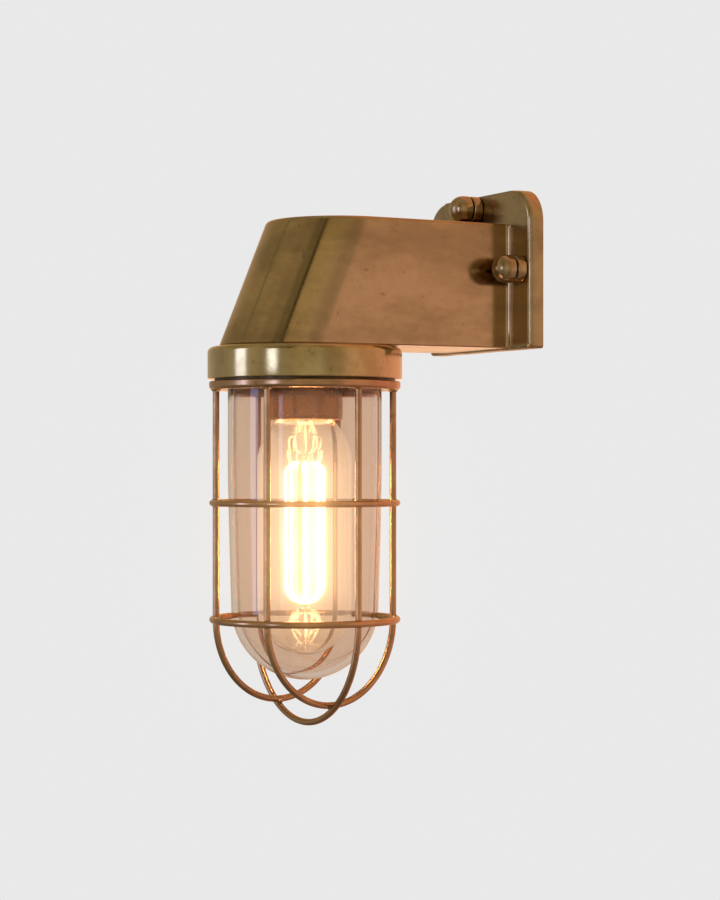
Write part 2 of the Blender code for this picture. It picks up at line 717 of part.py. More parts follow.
def lampholder():
    """Steel bar under the gallery's roof, and the holder that hangs from it."""
    axis = Matrix.Translation((0, LAMP_Y, 0))
    bottom = BAR_TOP - BAR_THICKNESS
    half, deep = BAR_LENGTH / 2, BAR_WIDTH / 2
    bar = box("lampholder_bracket", (-half, LAMP_Y - deep, bottom), (half, LAMP_Y + deep, BAR_TOP), "steel")
    cut(bar, cylinder("bar_wire_hole", BAR_WIRE_HOLE, (0, LAMP_Y, bottom - EPS), (0, LAMP_Y, BAR_TOP + EPS)))
    for side, x in (("near", BAR_SCREW_X), ("far", -BAR_SCREW_X)):
        hole = cylinder(
            f"bar_{side}_hole", SCREW_RADIUS + GAP, (x, LAMP_Y, bottom - EPS), (x, LAMP_Y, BAR_TOP + EPS)
        )
        cut(bar, hole)
        head = bottom - GAP - SCREW_HEAD_HEIGHT
        length = BAR_TOP + GAP + BAR_SCREW_BITE - head
        profile = screw_profile(SCREW_RADIUS, BAR_SCREW_HEAD, 0.0, SCREW_HEAD_HEIGHT, length)
        turned(f"bracket_screw_{side}", profile, "steel", None, Matrix.Translation((x, LAMP_Y, head)), SMALL)
    cap_top = bottom - GAP
    inner = HOLDER_RADIUS - HOLDER_WALL
    corner, middle = HOLDER_CAP_EDGE
    cap = [
        (BAR_WIRE_HOLE, cap_top),
        (HOLDER_RADIUS - corner, cap_top),
        (HOLDER_RADIUS - middle, cap_top - middle),
        (HOLDER_RADIUS, cap_top - corner),
        (HOLDER_RADIUS, HOLDER_SPLIT_Z + GAP),
        (inner, HOLDER_SPLIT_Z + GAP),
        (inner, cap_top - corner),
        (inner - corner / 2, cap_top - HOLDER_CAP_ROOF),
        (BAR_WIRE_HOLE, cap_top - HOLDER_CAP_ROOF),
    ]
    turned("lampholder_cap", cap, "copper", None, axis)
    skirt = [
        (HOLDER_RADIUS, HOLDER_SPLIT_Z),
        (HOLDER_RADIUS, HOLDER_BOTTOM),
        (inner, HOLDER_BOTTOM),
        (inner, HOLDER_SPLIT_Z),
    ]
    turned("lampholder_skirt", skirt, "copper", None, axis)
    floor = INSULATOR_TOP - INSULATOR_FLOOR
    core = [
        (0.0, INSULATOR_TOP),
        (INSULATOR_RADIUS, INSULATOR_TOP),
        (INSULATOR_RADIUS, HOLDER_BOTTOM + INSULATOR_SET_BACK),
        (INSULATOR_BORE, HOLDER_BOTTOM + INSULATOR_SET_BACK),
        (INSULATOR_BORE, floor),
        (0.0, floor),
    ]
    turned("lampholder_insulator", core, "porcelain", None, axis)
    shell = [
        (SHELL_RADIUS, floor - SHELL_HEADROOM),
        (SHELL_RADIUS, HOLDER_BOTTOM + SHELL_SET_BACK),
        (SHELL_BORE, HOLDER_BOTTOM + SHELL_SET_BACK),
        (SHELL_BORE, floor - SHELL_HEADROOM),
    ]
    turned("screw_shell", shell, "polished_brass", None, axis)
    hub = Vector((0.0, LAMP_Y, floor))
    box("centre_contact", hub + Vector(CONTACT_LOW), hub + Vector(CONTACT_HIGH), "nickel")


# Well glass and guard ------------------------------------------------------------------------------------


def well_glass():
    """Clear well with a flat rim, walls that taper a little below their upper half, and a round end."""
    rim_low = GLASS_RIM_TOP - GLASS_RIM_HEIGHT
    end = GLASS_END_RADIUS
    outer = [(GLASS_RIM_RADIUS, GLASS_RIM_TOP), (GLASS_RIM_RADIUS, rim_low), (GLASS_RADIUS, rim_low)]
    outer.append((GLASS_RADIUS, GLASS_TAPER_Z))
    outer += arc((0.0, GLASS_END_Z), end, 0, -90, 9)[:-1] + [(0.0, GLASS_END_Z - end)]
    inner = arc((0.0, GLASS_END_Z), end - GLASS_WALL, -90, 0, 9)
    inner[0] = (0.0, GLASS_END_Z - end + GLASS_WALL)
    bore = GLASS_RADIUS - GLASS_WALL
    profile = outer + inner + [(bore, GLASS_TAPER_Z), (bore, GLASS_RIM_TOP)]
    turned("well_glass", profile, "glass", None, Matrix.Translation((0, LAMP_Y, 0)), 32)


def guard_ring(axis):
    """Ring with a collar that screws into the gallery, and an inner ledge that carries the glass."""
    edge = GUARD_EDGE_RADIUS
    profile = [(COLLAR_RADIUS, COLLAR_TOP), (COLLAR_RADIUS, GUARD_BAND_TOP), (GUARD_RADIUS, GUARD_BAND_TOP)]
    profile += arc((GUARD_RADIUS - edge, GUARD_BOTTOM + edge), edge, 0, -90, 3)
    profile += [
        (GUARD_BORE, GUARD_BOTTOM),
        (GUARD_BORE, GUARD_SEAT_Z),
        (COLLAR_BORE, GUARD_SEAT_Z),
        (COLLAR_BORE, COLLAR_TOP),
    ]
    turned("guard_ring", profile, "wire_brass", axis, None, LARGE)


def hoop_route(offset, depth, count=14):
    """A U in a plane x = offset from the lamp axis, or through the axis along x when the offset is zero."""
    half = math.sqrt(WIRE_CIRCLE**2 - offset**2)
    top = GUARD_BOTTOM - GAP
    flat = [(half, top)] + [(x, RING_LOWER_Z + z) for x, z in half_ellipse(half, depth, count)] + [(-half, top)]
    if offset:
        return [(offset, x, z) for x, z in flat]
    return [(x, 0.0, z) for x, z in flat]


def half_ellipse(half, depth, count):
    angles = [math.pi * i / count for i in range(count + 1)]
    return [(half * math.cos(a), -depth * math.sin(a)) for a in angles]


def wire_ring(name, z, axis, cutters):
    bpy.ops.mesh.primitive_torus_add(
        major_radius=RING_CIRCLE, minor_radius=RING_RADIUS, major_segments=LARGE, minor_segments=8
    )
    made = bpy.context.object
    mesh = made.data
    bpy.data.objects.remove(made, do_unlink=True)
    mesh.name = name
    smooth(mesh)
    ring = add_object(name, mesh, "wire_brass", axis, Matrix.Translation((0, 0, z)))
    cut(ring, *cutters)


def wire_guard():
    axis = empty("guard_axis", (0.0, LAMP_Y, 0.0), HOOP_TURN)
    guard_ring(axis)
    hoops = {
        "hoop_centre": hoop_route(0.0, HOOP_CENTRE_DEPTH),
        "hoop_near": hoop_route(WIRE_CIRCLE / 2, HOOP_SIDE_DEPTH),
        "hoop_far": hoop_route(-WIRE_CIRCLE / 2, HOOP_SIDE_DEPTH),
    }
    made, clearances = {}, {}
    for name, route in hoops.items():
        made[name] = tube(name, route, WIRE_RADIUS, "wire_brass", axis)
        clearances[name] = tube(name + "_clearance", route, WIRE_RADIUS + GAP, None, axis)
    for name in ("hoop_near", "hoop_far"):
        cut(made[name], clearances["hoop_centre"])
    for name, z in (("ring_mid", RING_MID_Z), ("ring_lower", RING_LOWER_Z)):
        wire_ring(name, z, axis, clearances.values())


# Bulb ----------------------------------------------------------------------------------------------------


def bulb_side(shrink):
    """(radius, z) of the bulb's glass from the neck to the pole, thinner by the wall inside."""
    radius, neck = BULB_RADIUS - shrink, BULB_NECK_RADIUS - shrink
    points = [(neck, BULB_NECK_TOP), (neck, BULB_SHOULDER_TOP)]
    drop = BULB_SHOULDER_END - BULB_SHOULDER_TOP
    for step in BULB_SHOULDER_STEPS:
        swell = math.sin(math.pi / 2 * step) ** BULB_SWELL
        points.append((neck + (radius - neck) * swell, BULB_SHOULDER_TOP + drop * step))
    points += arc((0.0, BULB_BOTTOM + BULB_RADIUS), radius, 0, -90, 7)[:-1]
    return points + [(0.0, BULB_BOTTOM + shrink)]


def bulb():
    """Tubular screw-cap bulb, all turned about the lamp axis."""
    axis = empty("bulb_axis", (0.0, LAMP_Y, 0.0))
    profile = bulb_side(0.0) + list(reversed(bulb_side(BULB_WALL)))
    turned("bulb_glass", profile, "bulb_glass", axis, None)
    skirt_end = BULB_SHOULDER_TOP + GAP
    cap = [(radius, CAP_TOP - drop) for radius, drop in CAP_PROFILE]
    cap += [(CAP_RADIUS, skirt_end), (CAP_RADIUS - CAP_WALL, skirt_end)]
    cap += [(radius, CAP_TOP - drop) for radius, drop in CAP_INSIDE]
    turned("bulb_cap", cap, "nickel", axis)
    seat = CAP_TOP + GAP
    insulator = [(radius, seat + z) for radius, z in CAP_INSULATOR]
    turned("bulb_cap_insulator", insulator, "black_glass", axis, None, SMALL)
    seat = insulator[0][1] + GAP
    turned("bulb_tip_contact", [(radius, seat + z) for radius, z in TIP_CONTACT], "nickel", axis, None, SMALL)
    turned("bulb_stem", STEM, "bulb_glass", axis, None, SMALL)
    turned("filament_support", SUPPORT, "nickel", axis, None, SMALL)
    for i in range(FILAMENTS):
        turn = 2.0 * math.pi * (i + 0.5) / FILAMENTS
        route = []
        for reach, drop in FILAMENT_ROUTE:
            reach *= FILAMENT_CIRCLE
            z = FILAMENT_TOP + (FILAMENT_BOTTOM - FILAMENT_TOP) * drop
            route.append((reach * math.cos(turn), reach * math.sin(turn), z))
        tube(f"filament_{i + 1}", route, FILAMENT_RADIUS, "filament", axis)


# Assembly ------------------------------------------------------------------------------------------------

wall_bracket()
back_plate()
studs_and_nuts()
cable_grommet()
arm_casting()
arm_screws()
terminal_block()
inner_wires()
gallery()
gallery_screws()
gasket("upper_gasket", UPPER_GASKET_BORE, GLASS_RIM_RADIUS, GLASS_RIM_TOP + GAP, SEAT_Z - GAP)
lampholder()
well_glass()
rim_low = GLASS_RIM_TOP - GLASS_RIM_HEIGHT
gasket("lower_gasket", LOWER_GASKET_BORE, GLASS_RIM_RADIUS, GUARD_SEAT_Z + GAP, rim_low - GAP)
wire_guard()
bulb()
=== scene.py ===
import json
import math

import bmesh
import bpy
from mathutils import Matrix, Vector


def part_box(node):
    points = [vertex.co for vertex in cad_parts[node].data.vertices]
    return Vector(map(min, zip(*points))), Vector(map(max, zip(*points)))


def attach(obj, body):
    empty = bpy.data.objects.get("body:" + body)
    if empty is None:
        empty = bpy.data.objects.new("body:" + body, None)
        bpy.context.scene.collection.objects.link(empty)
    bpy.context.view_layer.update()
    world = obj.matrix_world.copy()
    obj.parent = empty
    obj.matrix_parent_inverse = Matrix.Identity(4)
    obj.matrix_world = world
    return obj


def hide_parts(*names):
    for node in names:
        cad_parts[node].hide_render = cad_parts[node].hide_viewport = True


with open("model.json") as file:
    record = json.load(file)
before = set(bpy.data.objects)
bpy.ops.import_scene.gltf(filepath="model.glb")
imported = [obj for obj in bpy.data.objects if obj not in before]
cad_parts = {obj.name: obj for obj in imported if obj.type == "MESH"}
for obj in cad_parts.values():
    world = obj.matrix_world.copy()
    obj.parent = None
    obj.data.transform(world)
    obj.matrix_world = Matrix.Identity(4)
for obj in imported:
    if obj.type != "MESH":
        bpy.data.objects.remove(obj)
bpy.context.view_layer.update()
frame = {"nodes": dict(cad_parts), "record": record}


# Places taken from the frame -----------------------------------------------------------------------------

LOW = {name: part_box(name)[0] for name in frame["nodes"]}
HIGH = {name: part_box(name)[1] for name in frame["nodes"]}
LAMP_Y = (LOW["gallery"].y + HIGH["gallery"].y) / 2
LAMP = Vector((0.0, LAMP_Y, 0.0))
GALLERY_RADIUS = HIGH["gallery"].x
GUARD_RADIUS = HIGH["guard_ring"].x
GUARD_TURN = math.radians(10.2)


# Camera, light and floor ---------------------------------------------------------------------------------

ARM_TURN = math.radians(26.9)  # between the camera's side-on view and the arm
CAMERA_DISTANCE = 1.180
CAMERA_ASIDE = 0.0271
CAMERA_LEVEL = -0.0970
FOCAL_PIXELS = 2400.0
FRAME_PIXELS = 900.0
HORIZON_DROP = 15.0
SENSOR_WIDTH = 36.0
CLIP_NEAR, CLIP_FAR = 0.05, 50.0

BACKDROP = (0.815, 0.815, 0.815)
FLOOR_HALF = 8.0
FLOOR_Z = -0.75

LAMP_WATTS = 9.0
LAMP_COLOUR = (1.0, 0.68, 0.38)
LAMP_BALL = 0.010
LAMP_HEIGHTS = (-0.112, -0.150)


def make_camera():
    camera = bpy.data.cameras.new("camera")
    camera.sensor_width = SENSOR_WIDTH
    camera.lens = FOCAL_PIXELS * camera.sensor_width / FRAME_PIXELS
    camera.shift_y = HORIZON_DROP / FRAME_PIXELS
    camera.clip_start = CLIP_NEAR
    camera.clip_end = CLIP_FAR
    obj = bpy.data.objects.new("camera", camera)
    bpy.context.scene.collection.objects.link(obj)
    back = Vector((math.cos(ARM_TURN), -math.sin(ARM_TURN), 0.0))
    right = Vector((math.sin(ARM_TURN), math.cos(ARM_TURN), 0.0))
    place = LAMP + back * CAMERA_DISTANCE + right * CAMERA_ASIDE
    obj.location = (place.x, place.y, CAMERA_LEVEL)
    obj.rotation_euler = back.to_track_quat("Z", "Y").to_euler()
    bpy.context.scene.camera = obj


def link(tree, *pairs):
    """Joins each (output, input) pair."""
    for source, target in pairs:
        tree.links.new(source, target)


def ramp(tree, factor, stops, smooth=False):
    """A colour ramp from (place, colour) stops."""
    node = tree.nodes.new("ShaderNodeValToRGB")
    node.color_ramp.interpolation = "EASE" if smooth else "LINEAR"
    elements = node.color_ramp.elements
    while len(elements) > 1:
        elements.remove(elements[-1])
    for i, (place, colour) in enumerate(stops):
        element = elements[0] if i == 0 else elements.new(place)
        element.position = place
        element.color = (*colour, 1.0)
    link(tree, (factor, node.inputs["Fac"]))
    return node.outputs["Color"]


def math_node(tree, operation, first, second=None):
    node = tree.nodes.new("ShaderNodeMath")
    node.operation = operation
    for socket, value in zip(node.inputs, (first, second)):
        if value is None:
            continue
        if isinstance(value, (int, float)):
            socket.default_value = value
        else:
            link(tree, (value, socket))
    return node.outputs[0]


def mix_colour(tree, factor, first, second, blend="MIX"):
    node = tree.nodes.new("ShaderNodeMix")
    node.data_type = "RGBA"
    node.blend_type = blend
    for socket, value in ((node.inputs[0], factor), (node.inputs[6], first), (node.inputs[7], second)):
        if isinstance(value, (int, float)):
            socket.default_value = value
        elif isinstance(value, tuple):
            socket.default_value = (*value, 1.0)
        else:
            link(tree, (value, socket))
    return node.outputs[2]


# The room seen in the brass at lamp height: (degrees to the right of the camera's side of the lamp, colour)
ROOM = [
    (-180, (0.86, 0.52, 0.30)),
    (-172, (0.80, 0.50, 0.30)),
    (-160, (0.44, 0.36, 0.24)),
    (-120, (0.36, 0.33, 0.25)),
    (-95, (0.42, 0.40, 0.32)),
    (-64, (0.44, 0.40, 0.31)),
    (-52, (0.36, 0.33, 0.27)),
    (-25, (0.37, 0.34, 0.25)),
    (-8, (0.50, 0.45, 0.31)),
    (14, (0.50, 0.44, 0.31)),
    (34, (0.42, 0.34, 0.24)),
    (44, (0.46, 0.36, 0.25)),
    (54, (0.70, 0.50, 0.37)),
    (64, (0.76, 0.51, 0.37)),
    (80, (0.80, 0.50, 0.36)),
    (110, (0.88, 0.46, 0.34)),
    (140, (0.98, 0.46, 0.28)),
    (180, (0.86, 0.52, 0.30)),
]
# How the room fades above and below lamp height: (upward part of the direction, from -1 to 1, share)
ROOM_HEIGHT = [
    (-1.0, (0.35, 0.35, 0.35)),
    (-0.45, (0.62, 0.62, 0.62)),
    (-0.12, (1.0, 1.0, 1.0)),
    (0.15, (0.98, 0.96, 0.92)),
    (0.30, (1.05, 0.98, 0.80)),
    (0.50, (0.98, 0.90, 0.62)),
    (0.75, (0.85, 0.78, 0.55)),
    (1.0, (0.9, 0.9, 0.9)),
]
# Soft boxes and dark flags: (degrees to the right, half its width, upward part of its middle, half its height,
# soft edge in degrees, colour)
SOFT_BOXES = [
    (-180.0, 14.0, -0.07, 0.07, 6.0, (1.25, 0.74, 0.45)),
    (180.0, 14.0, -0.07, 0.07, 6.0, (1.25, 0.74, 0.45)),
    (-80.0, 7.5, 0.06, 0.26, 3.5, (2.0, 2.35, 3.9)),
    (-37.5, 5.5, 0.06, 0.16, 3.5, (2.45, 2.95, 4.6)),
    (19.0, 3.0, 0.05, 0.20, 3.5, (0.56, 0.54, 0.44)),
    (-96.0, 2.0, 0.55, 0.30, 3.0, (0.20, 0.19, 0.11)),
    (-26.0, 7.5, 0.50, 0.24, 5.0, (0.22, 0.19, 0.095)),
    (-16.5, 2.6, 0.50, 0.26, 1.6, (0.03, 0.025, 0.01)),
]
ROOM_PEAK = 1.2  # a ramp holds no colour above 1, so the room is scaled down by this and back up
BOX_SOFT_HEIGHT = 0.12


def window(tree, value, middle, half, soft):
    """1 within half of the middle, easing to 0 over the soft margin on both sides."""
    off = math_node(tree, "ABSOLUTE", math_node(tree, "SUBTRACT", value, middle))
    node = tree.nodes.new("ShaderNodeMapRange")
    node.interpolation_type = "SMOOTHSTEP"
    node.inputs["From Min"].default_value = half - soft / 2
    node.inputs["From Max"].default_value = half + soft / 2
    node.inputs["To Min"].default_value = 1.0
    node.inputs["To Max"].default_value = 0.0
    link(tree, (off, node.inputs["Value"]))
    return node.outputs[0]


def make_world():
    """The backdrop behind the lantern, and round it the soft boxes and dim room that its brass mirrors."""
    world = bpy.data.worlds.new("studio")
    bpy.context.scene.world = world
    world.use_nodes = True
    tree = world.node_tree
    tree.nodes.clear()
    coords = tree.nodes.new("ShaderNodeTexCoord").outputs["Generated"]
    turn = tree.nodes.new("ShaderNodeVectorRotate")
    turn.rotation_type = "Z_AXIS"
    turn.inputs["Angle"].default_value = ARM_TURN
    split = tree.nodes.new("ShaderNodeSeparateXYZ")
    link(tree, (coords, turn.inputs["Vector"]), (turn.outputs["Vector"], split.inputs[0]))
    azimuth = math_node(tree, "ARCTAN2", split.outputs["Y"], split.outputs["X"])
    degrees = math_node(tree, "MULTIPLY", azimuth, 180 / math.pi)
    share = math_node(tree, "ADD", math_node(tree, "DIVIDE", degrees, 360.0), 0.5)
    stops = [((angle + 180) / 360, tuple(c / ROOM_PEAK for c in colour)) for angle, colour in ROOM]
    room = ramp(tree, share, stops)
    level = math_node(tree, "ADD", math_node(tree, "MULTIPLY", split.outputs["Z"], 0.5), 0.5)
    stops = [((z + 1) / 2, tuple(c / ROOM_PEAK for c in colour)) for z, colour in ROOM_HEIGHT]
    fade = ramp(tree, level, stops)
    total = mix_colour(tree, 1.0, room, fade, "MULTIPLY")
    total = mix_colour(tree, 1.0, total, (ROOM_PEAK**2,) * 3, "MULTIPLY")
    for middle, half, height, half_height, soft, colour in SOFT_BOXES:
        across = window(tree, degrees, middle, half, soft)
        upright = window(tree, split.outputs["Z"], height, half_height, BOX_SOFT_HEIGHT)
        total = mix_colour(tree, math_node(tree, "MULTIPLY", across, upright), total, colour)
    paths = tree.nodes.new("ShaderNodeLightPath")
    clear = math_node(tree, "MAXIMUM", paths.outputs["Is Camera Ray"], paths.outputs["Is Transmission Ray"])
    inside = tree.nodes.new("ShaderNodeBackground")
    outside = tree.nodes.new("ShaderNodeBackground")
    outside.inputs["Color"].default_value = (*BACKDROP, 1.0)
    mixed = tree.nodes.new("ShaderNodeMixShader")
    output = tree.nodes.new("ShaderNodeOutputWorld")
    link(
        tree,
        (total, inside.inputs["Color"]),
        (clear, mixed.inputs[0]),
        (inside.outputs[0], mixed.inputs[1]),
        (outside.outputs[0], mixed.inputs[2]),
        (mixed.outputs[0], output.inputs["Surface"]),
    )


def make_floor():
    """A plain floor of the backdrop's own shade, so that no horizon shows."""
    mesh = bpy.data.meshes.new("floor")
    bm = bmesh.new()
    bmesh.ops.create_grid(bm, x_segments=1, y_segments=1, size=FLOOR_HALF)
    bm.to_mesh(mesh)
    bm.free()
    floor = bpy.data.objects.new("floor", mesh)
    bpy.context.scene.collection.objects.link(floor)
    floor.location = (0.0, 0.0, FLOOR_Z)
    material = bpy.data.materials.new("floor")
    material.use_nodes = True
    tree = material.node_tree
    tree.nodes.clear()
    glow = tree.nodes.new("ShaderNodeEmission")
    glow.inputs["Color"].default_value = (*BACKDROP, 1.0)
    output = tree.nodes.new("ShaderNodeOutputMaterial")
    link(tree, (glow.outputs[0], output.inputs["Surface"]))
    mesh.materials.append(material)
    floor.visible_glossy = False
    floor.visible_diffuse = False
    floor.visible_shadow = False


def make_lamp_light():
    """The filament's warm light, which the clear glass lets through."""
    light = bpy.data.lights.new("filament_light", "POINT")
    light.energy = LAMP_WATTS
    light.color = LAMP_COLOUR
    light.shadow_soft_size = LAMP_BALL
    for i, z in enumerate(LAMP_HEIGHTS):
        obj = bpy.data.objects.new(f"filament_light_{i + 1}", light)
        bpy.context.scene.collection.objects.link(obj)
        obj.location = LAMP + Vector((0.0, 0.0, z))
        obj.visible_camera = False
        obj.visible_glossy = False
        obj.visible_transmission = False


# Materials -----------------------------------------------------------------------------------------------


WAVE_HEIGHT = 0.0012
FINE_GRAIN = 0.0001
BRASS_SPECKS = 240.0
BRASS_PITS = 900.0
COAT_ROUGHNESS = 0.06
GLASS_IOR = 1.47
GLASS_BODY = (0.30, 0.12, 0.0, 1.0)


def new_material(name):
    material = bpy.data.materials.new(name)
    material.use_nodes = True
    tree = material.node_tree
    return material, tree, tree.nodes["Principled BSDF"]


def noise(tree, scale, detail=4.0, roughness=0.55, stretch=None):
    """Noise fixed to the piece, in cells for each metre."""
    coords = tree.nodes.new("ShaderNodeTexCoord").outputs["Object"]
    if stretch:
        mapping = tree.nodes.new("ShaderNodeMapping")
        mapping.inputs["Scale"].default_value = stretch
        link(tree, (coords, mapping.inputs["Vector"]))
        coords = mapping.outputs["Vector"]
    node = tree.nodes.new("ShaderNodeTexNoise")
    node.inputs["Scale"].default_value = scale
    node.inputs["Detail"].default_value = detail
    node.inputs["Roughness"].default_value = roughness
    link(tree, (coords, node.inputs["Vector"]))
    return node.outputs["Fac"]


def bump(tree, shader, height, distance, strength, previous=None):
    node = tree.nodes.new("ShaderNodeBump")
    node.inputs["Distance"].default_value = distance
    node.inputs["Strength"].default_value = strength
    link(tree, (height, node.inputs["Height"]))
    if previous is not None:
        link(tree, (previous, node.inputs["Normal"]))
    link(tree, (node.outputs["Normal"], shader.inputs["Normal"]))
    return node.outputs["Normal"]


def brass(
    name,
    clean,
    tarnish,
    rough,
    patch=45.0,
    smear=(1, 1, 1),
    grain=(1, 1, 1),
    pits=0.25,
    waves=0.10,
    coat=0.0,
):
    """Aged brass: clean metal under soft brown patches, fine specks, small pits and faint polishing lines."""
    material, tree, shader = new_material(name)
    shader.inputs["Metallic"].default_value = 1.0
    patches = ramp(tree, noise(tree, patch, 5.0, 0.6, smear), [(0.36, (0, 0, 0)), (0.66, (1, 1, 1))], True)
    fine = ramp(tree, noise(tree, patch * 9.0, 3.0, 0.6), [(0.35, (0, 0, 0)), (0.75, (1, 1, 1))])
    colour = mix_colour(tree, patches, clean, tarnish)
    darker = tuple(c * 0.62 for c in tarnish)
    colour = mix_colour(tree, math_node(tree, "MULTIPLY", fine, 0.18), colour, darker)
    marks = ramp(tree, noise(tree, BRASS_SPECKS, 1.0, 0.4), [(0.72, (0, 0, 0)), (0.76, (1, 1, 1))])
    colour = mix_colour(tree, math_node(tree, "MULTIPLY", marks, 0.45), colour, darker)
    link(tree, (colour, shader.inputs["Base Color"]))
    wear = mix_colour(tree, patches, (rough[0],) * 3, (rough[1],) * 3)
    link(tree, (wear, shader.inputs["Roughness"]))
    if coat:
        shader.inputs["Coat Weight"].default_value = coat
        shader.inputs["Coat Roughness"].default_value = COAT_ROUGHNESS
    normal = bump(tree, shader, noise(tree, 28.0, 2.0, 0.5), WAVE_HEIGHT, waves)
    bump(tree, shader, noise(tree, BRASS_PITS, 3.0, 0.6, grain), FINE_GRAIN, pits, normal)
    return material


def metal(name, colour, rough, grain=600.0):
    """Plain bright metal with a fine brushed surface."""
    material, tree, shader = new_material(name)
    shader.inputs["Metallic"].default_value = 1.0
    shade = ramp(tree, noise(tree, grain / 6, 4.0, 0.6), [(0.3, tuple(c * 0.78 for c in colour)), (0.7, colour)])
    link(tree, (shade, shader.inputs["Base Color"]))
    finish = ramp(tree, noise(tree, grain / 3, 3.0), [(0.3, (rough * 0.8,) * 3), (0.7, (rough * 1.25,) * 3)])
    link(tree, (finish, shader.inputs["Roughness"]))
    bump(tree, shader, noise(tree, grain, 2.0, 0.5), FINE_GRAIN, 0.3)
    return material


def moulded(name, colour, rough, grain=900.0, depth=0.25):
    """Rubber, porcelain or plastic with a fine moulded surface."""
    material, tree, shader = new_material(name)
    shade = ramp(tree, noise(tree, 120.0), [(0.3, tuple(c * 0.8 for c in colour)), (0.7, colour)])
    link(tree, (shade, shader.inputs["Base Color"]))
    finish = ramp(tree, noise(tree, 200.0), [(0.3, (rough * 0.85,) * 3), (0.7, (min(1, rough * 1.15),) * 3)])
    link(tree, (finish, shader.inputs["Roughness"]))
    bump(tree, shader, noise(tree, grain, 3.0), FINE_GRAIN, depth)
    return material


GLOW_REACH = 0.200
# The painted glow down the bulb glass, standing in for the filaments' light caught in it: (depth below the plate's
# centre as a share of GLOW_REACH, colour)
PAINTED_GLOW_RISE = [
    (0.37, (0.02, 0.02, 0.02)),
    (0.41, (0.62, 0.60, 0.55)),
    (0.50, (0.92, 0.90, 0.82)),
    (0.66, (1.0, 0.98, 0.92)),
    (0.80, (0.95, 0.93, 0.86)),
    (0.90, (0.30, 0.25, 0.20)),
    (0.95, (0.14, 0.11, 0.09)),
]


def glass(name, tint, ripple, glow=0.0, absorb=0.0):
    """Clear glass with faint draw lines. It can shade what is seen through it, and carry a painted glow where the
    filaments would light it.
    """
    material, tree, shader = new_material(name)
    shade = ramp(tree, noise(tree, 40.0, 2.0), [(0.3, tuple(c * 0.99 for c in tint)), (0.7, tint)])
    link(tree, (shade, shader.inputs["Base Color"]))
    shader.inputs["Roughness"].default_value = 0.0
    shader.inputs["IOR"].default_value = GLASS_IOR
    shader.inputs["Transmission Weight"].default_value = 1.0
    bump(tree, shader, noise(tree, 30.0, 2.0, 0.5, (1.0, 1.0, 0.15)), 0.001, ripple)
    if absorb:
        volume = tree.nodes.new("ShaderNodeVolumeAbsorption")
        volume.inputs["Color"].default_value = GLASS_BODY
        volume.inputs["Density"].default_value = absorb
        output = next(node for node in tree.nodes if node.type == "OUTPUT_MATERIAL")
        link(tree, (volume.outputs[0], output.inputs["Volume"]))
    if glow:
        # Painted glow: the glass emits light that stands in for the filaments' light caught in it.
        split = tree.nodes.new("ShaderNodeSeparateXYZ")
        link(tree, (tree.nodes.new("ShaderNodeTexCoord").outputs["Object"], split.inputs[0]))
        depth = math_node(tree, "MULTIPLY", split.outputs["Z"], -1 / GLOW_REACH)
        glow_colour = ramp(tree, depth, PAINTED_GLOW_RISE)
        link(tree, (glow_colour, shader.inputs["Emission Color"]))
        shader.inputs["Emission Strength"].default_value = glow
    return material


def glowing(name, colour, strength):
    """A hot filament, a little cooler here and there along its length."""
    material, tree, shader = new_material(name)
    mottle = noise(tree, 260.0, 2.0, 0.5, (1, 1, 0.6))
    glow_colour = ramp(tree, mottle, [(0.3, tuple(c * 0.7 for c in colour)), (0.65, colour)])
    link(tree, (glow_colour, shader.inputs["Emission Color"]), (glow_colour, shader.inputs["Base Color"]))
    shader.inputs["Emission Strength"].default_value = strength
    shader.inputs["Roughness"].default_value = 0.5
    return material


SMEAR = (1.0, 0.55, 1.7)
CAST = brass(
    "cast_brass", (0.56, 0.385, 0.23), (0.38, 0.26, 0.145), (0.12, 0.19), 26.0, SMEAR, grain=(1, 0.1, 1), pits=0.16
)
PLATE = brass("plate_brass", (0.50, 0.36, 0.20), (0.36, 0.25, 0.135), (0.20, 0.30), 45.0)
TURNED = brass(
    "gallery_brass", (0.56, 0.415, 0.19), (0.43, 0.295, 0.12), (0.11, 0.18), 60.0, grain=(1, 1, 6), pits=0.12, coat=0.8
)
FITTINGS = brass("nut_brass", (0.52, 0.37, 0.21), (0.38, 0.25, 0.14), (0.16, 0.26), 160.0, pits=0.15)
WIRE = brass("guard_brass", (0.53, 0.315, 0.18), (0.41, 0.235, 0.125), (0.16, 0.23), 70.0, pits=0.01, waves=0.01)
BRAZE = brass("braze_brass", (0.54, 0.37, 0.18), (0.38, 0.24, 0.11), (0.24, 0.34), 300.0, pits=0.2)
# Near-black brass for the collar in the groove: painted shade, standing in for the groove's shadow.
GROOVE_SHADE = brass("groove_shade_brass", (0.10, 0.07, 0.04), (0.05, 0.035, 0.02), (0.35, 0.50), 90.0)
COPPER = brass(
    "holder_copper", (0.46, 0.21, 0.085), (0.38, 0.19, 0.08), (0.22, 0.30), 90.0, grain=(1, 1, 0.1), pits=0.2
)
TERMINAL = metal("terminal_brass", (0.72, 0.55, 0.26), 0.25)
STEEL = metal("steel", (0.56, 0.57, 0.58), 0.32)
NICKEL = metal("nickel", (0.66, 0.62, 0.55), 0.22, 500.0)
RUBBER = moulded("rubber", (0.035, 0.033, 0.032), 0.75)
PORCELAIN = moulded("porcelain", (0.80, 0.77, 0.70), 0.22, 500.0, 0.08)
BLOCK = moulded("block_plastic", (0.76, 0.73, 0.64), 0.45)
VITRITE = moulded("black_glass", (0.02, 0.02, 0.022), 0.12, 400.0, 0.08)
LIVE = moulded("live_wire", (0.26, 0.11, 0.05), 0.45)
NEUTRAL = moulded("neutral_wire", (0.05, 0.13, 0.45), 0.45)
EARTH = moulded("earth_wire", (0.14, 0.42, 0.08), 0.45)
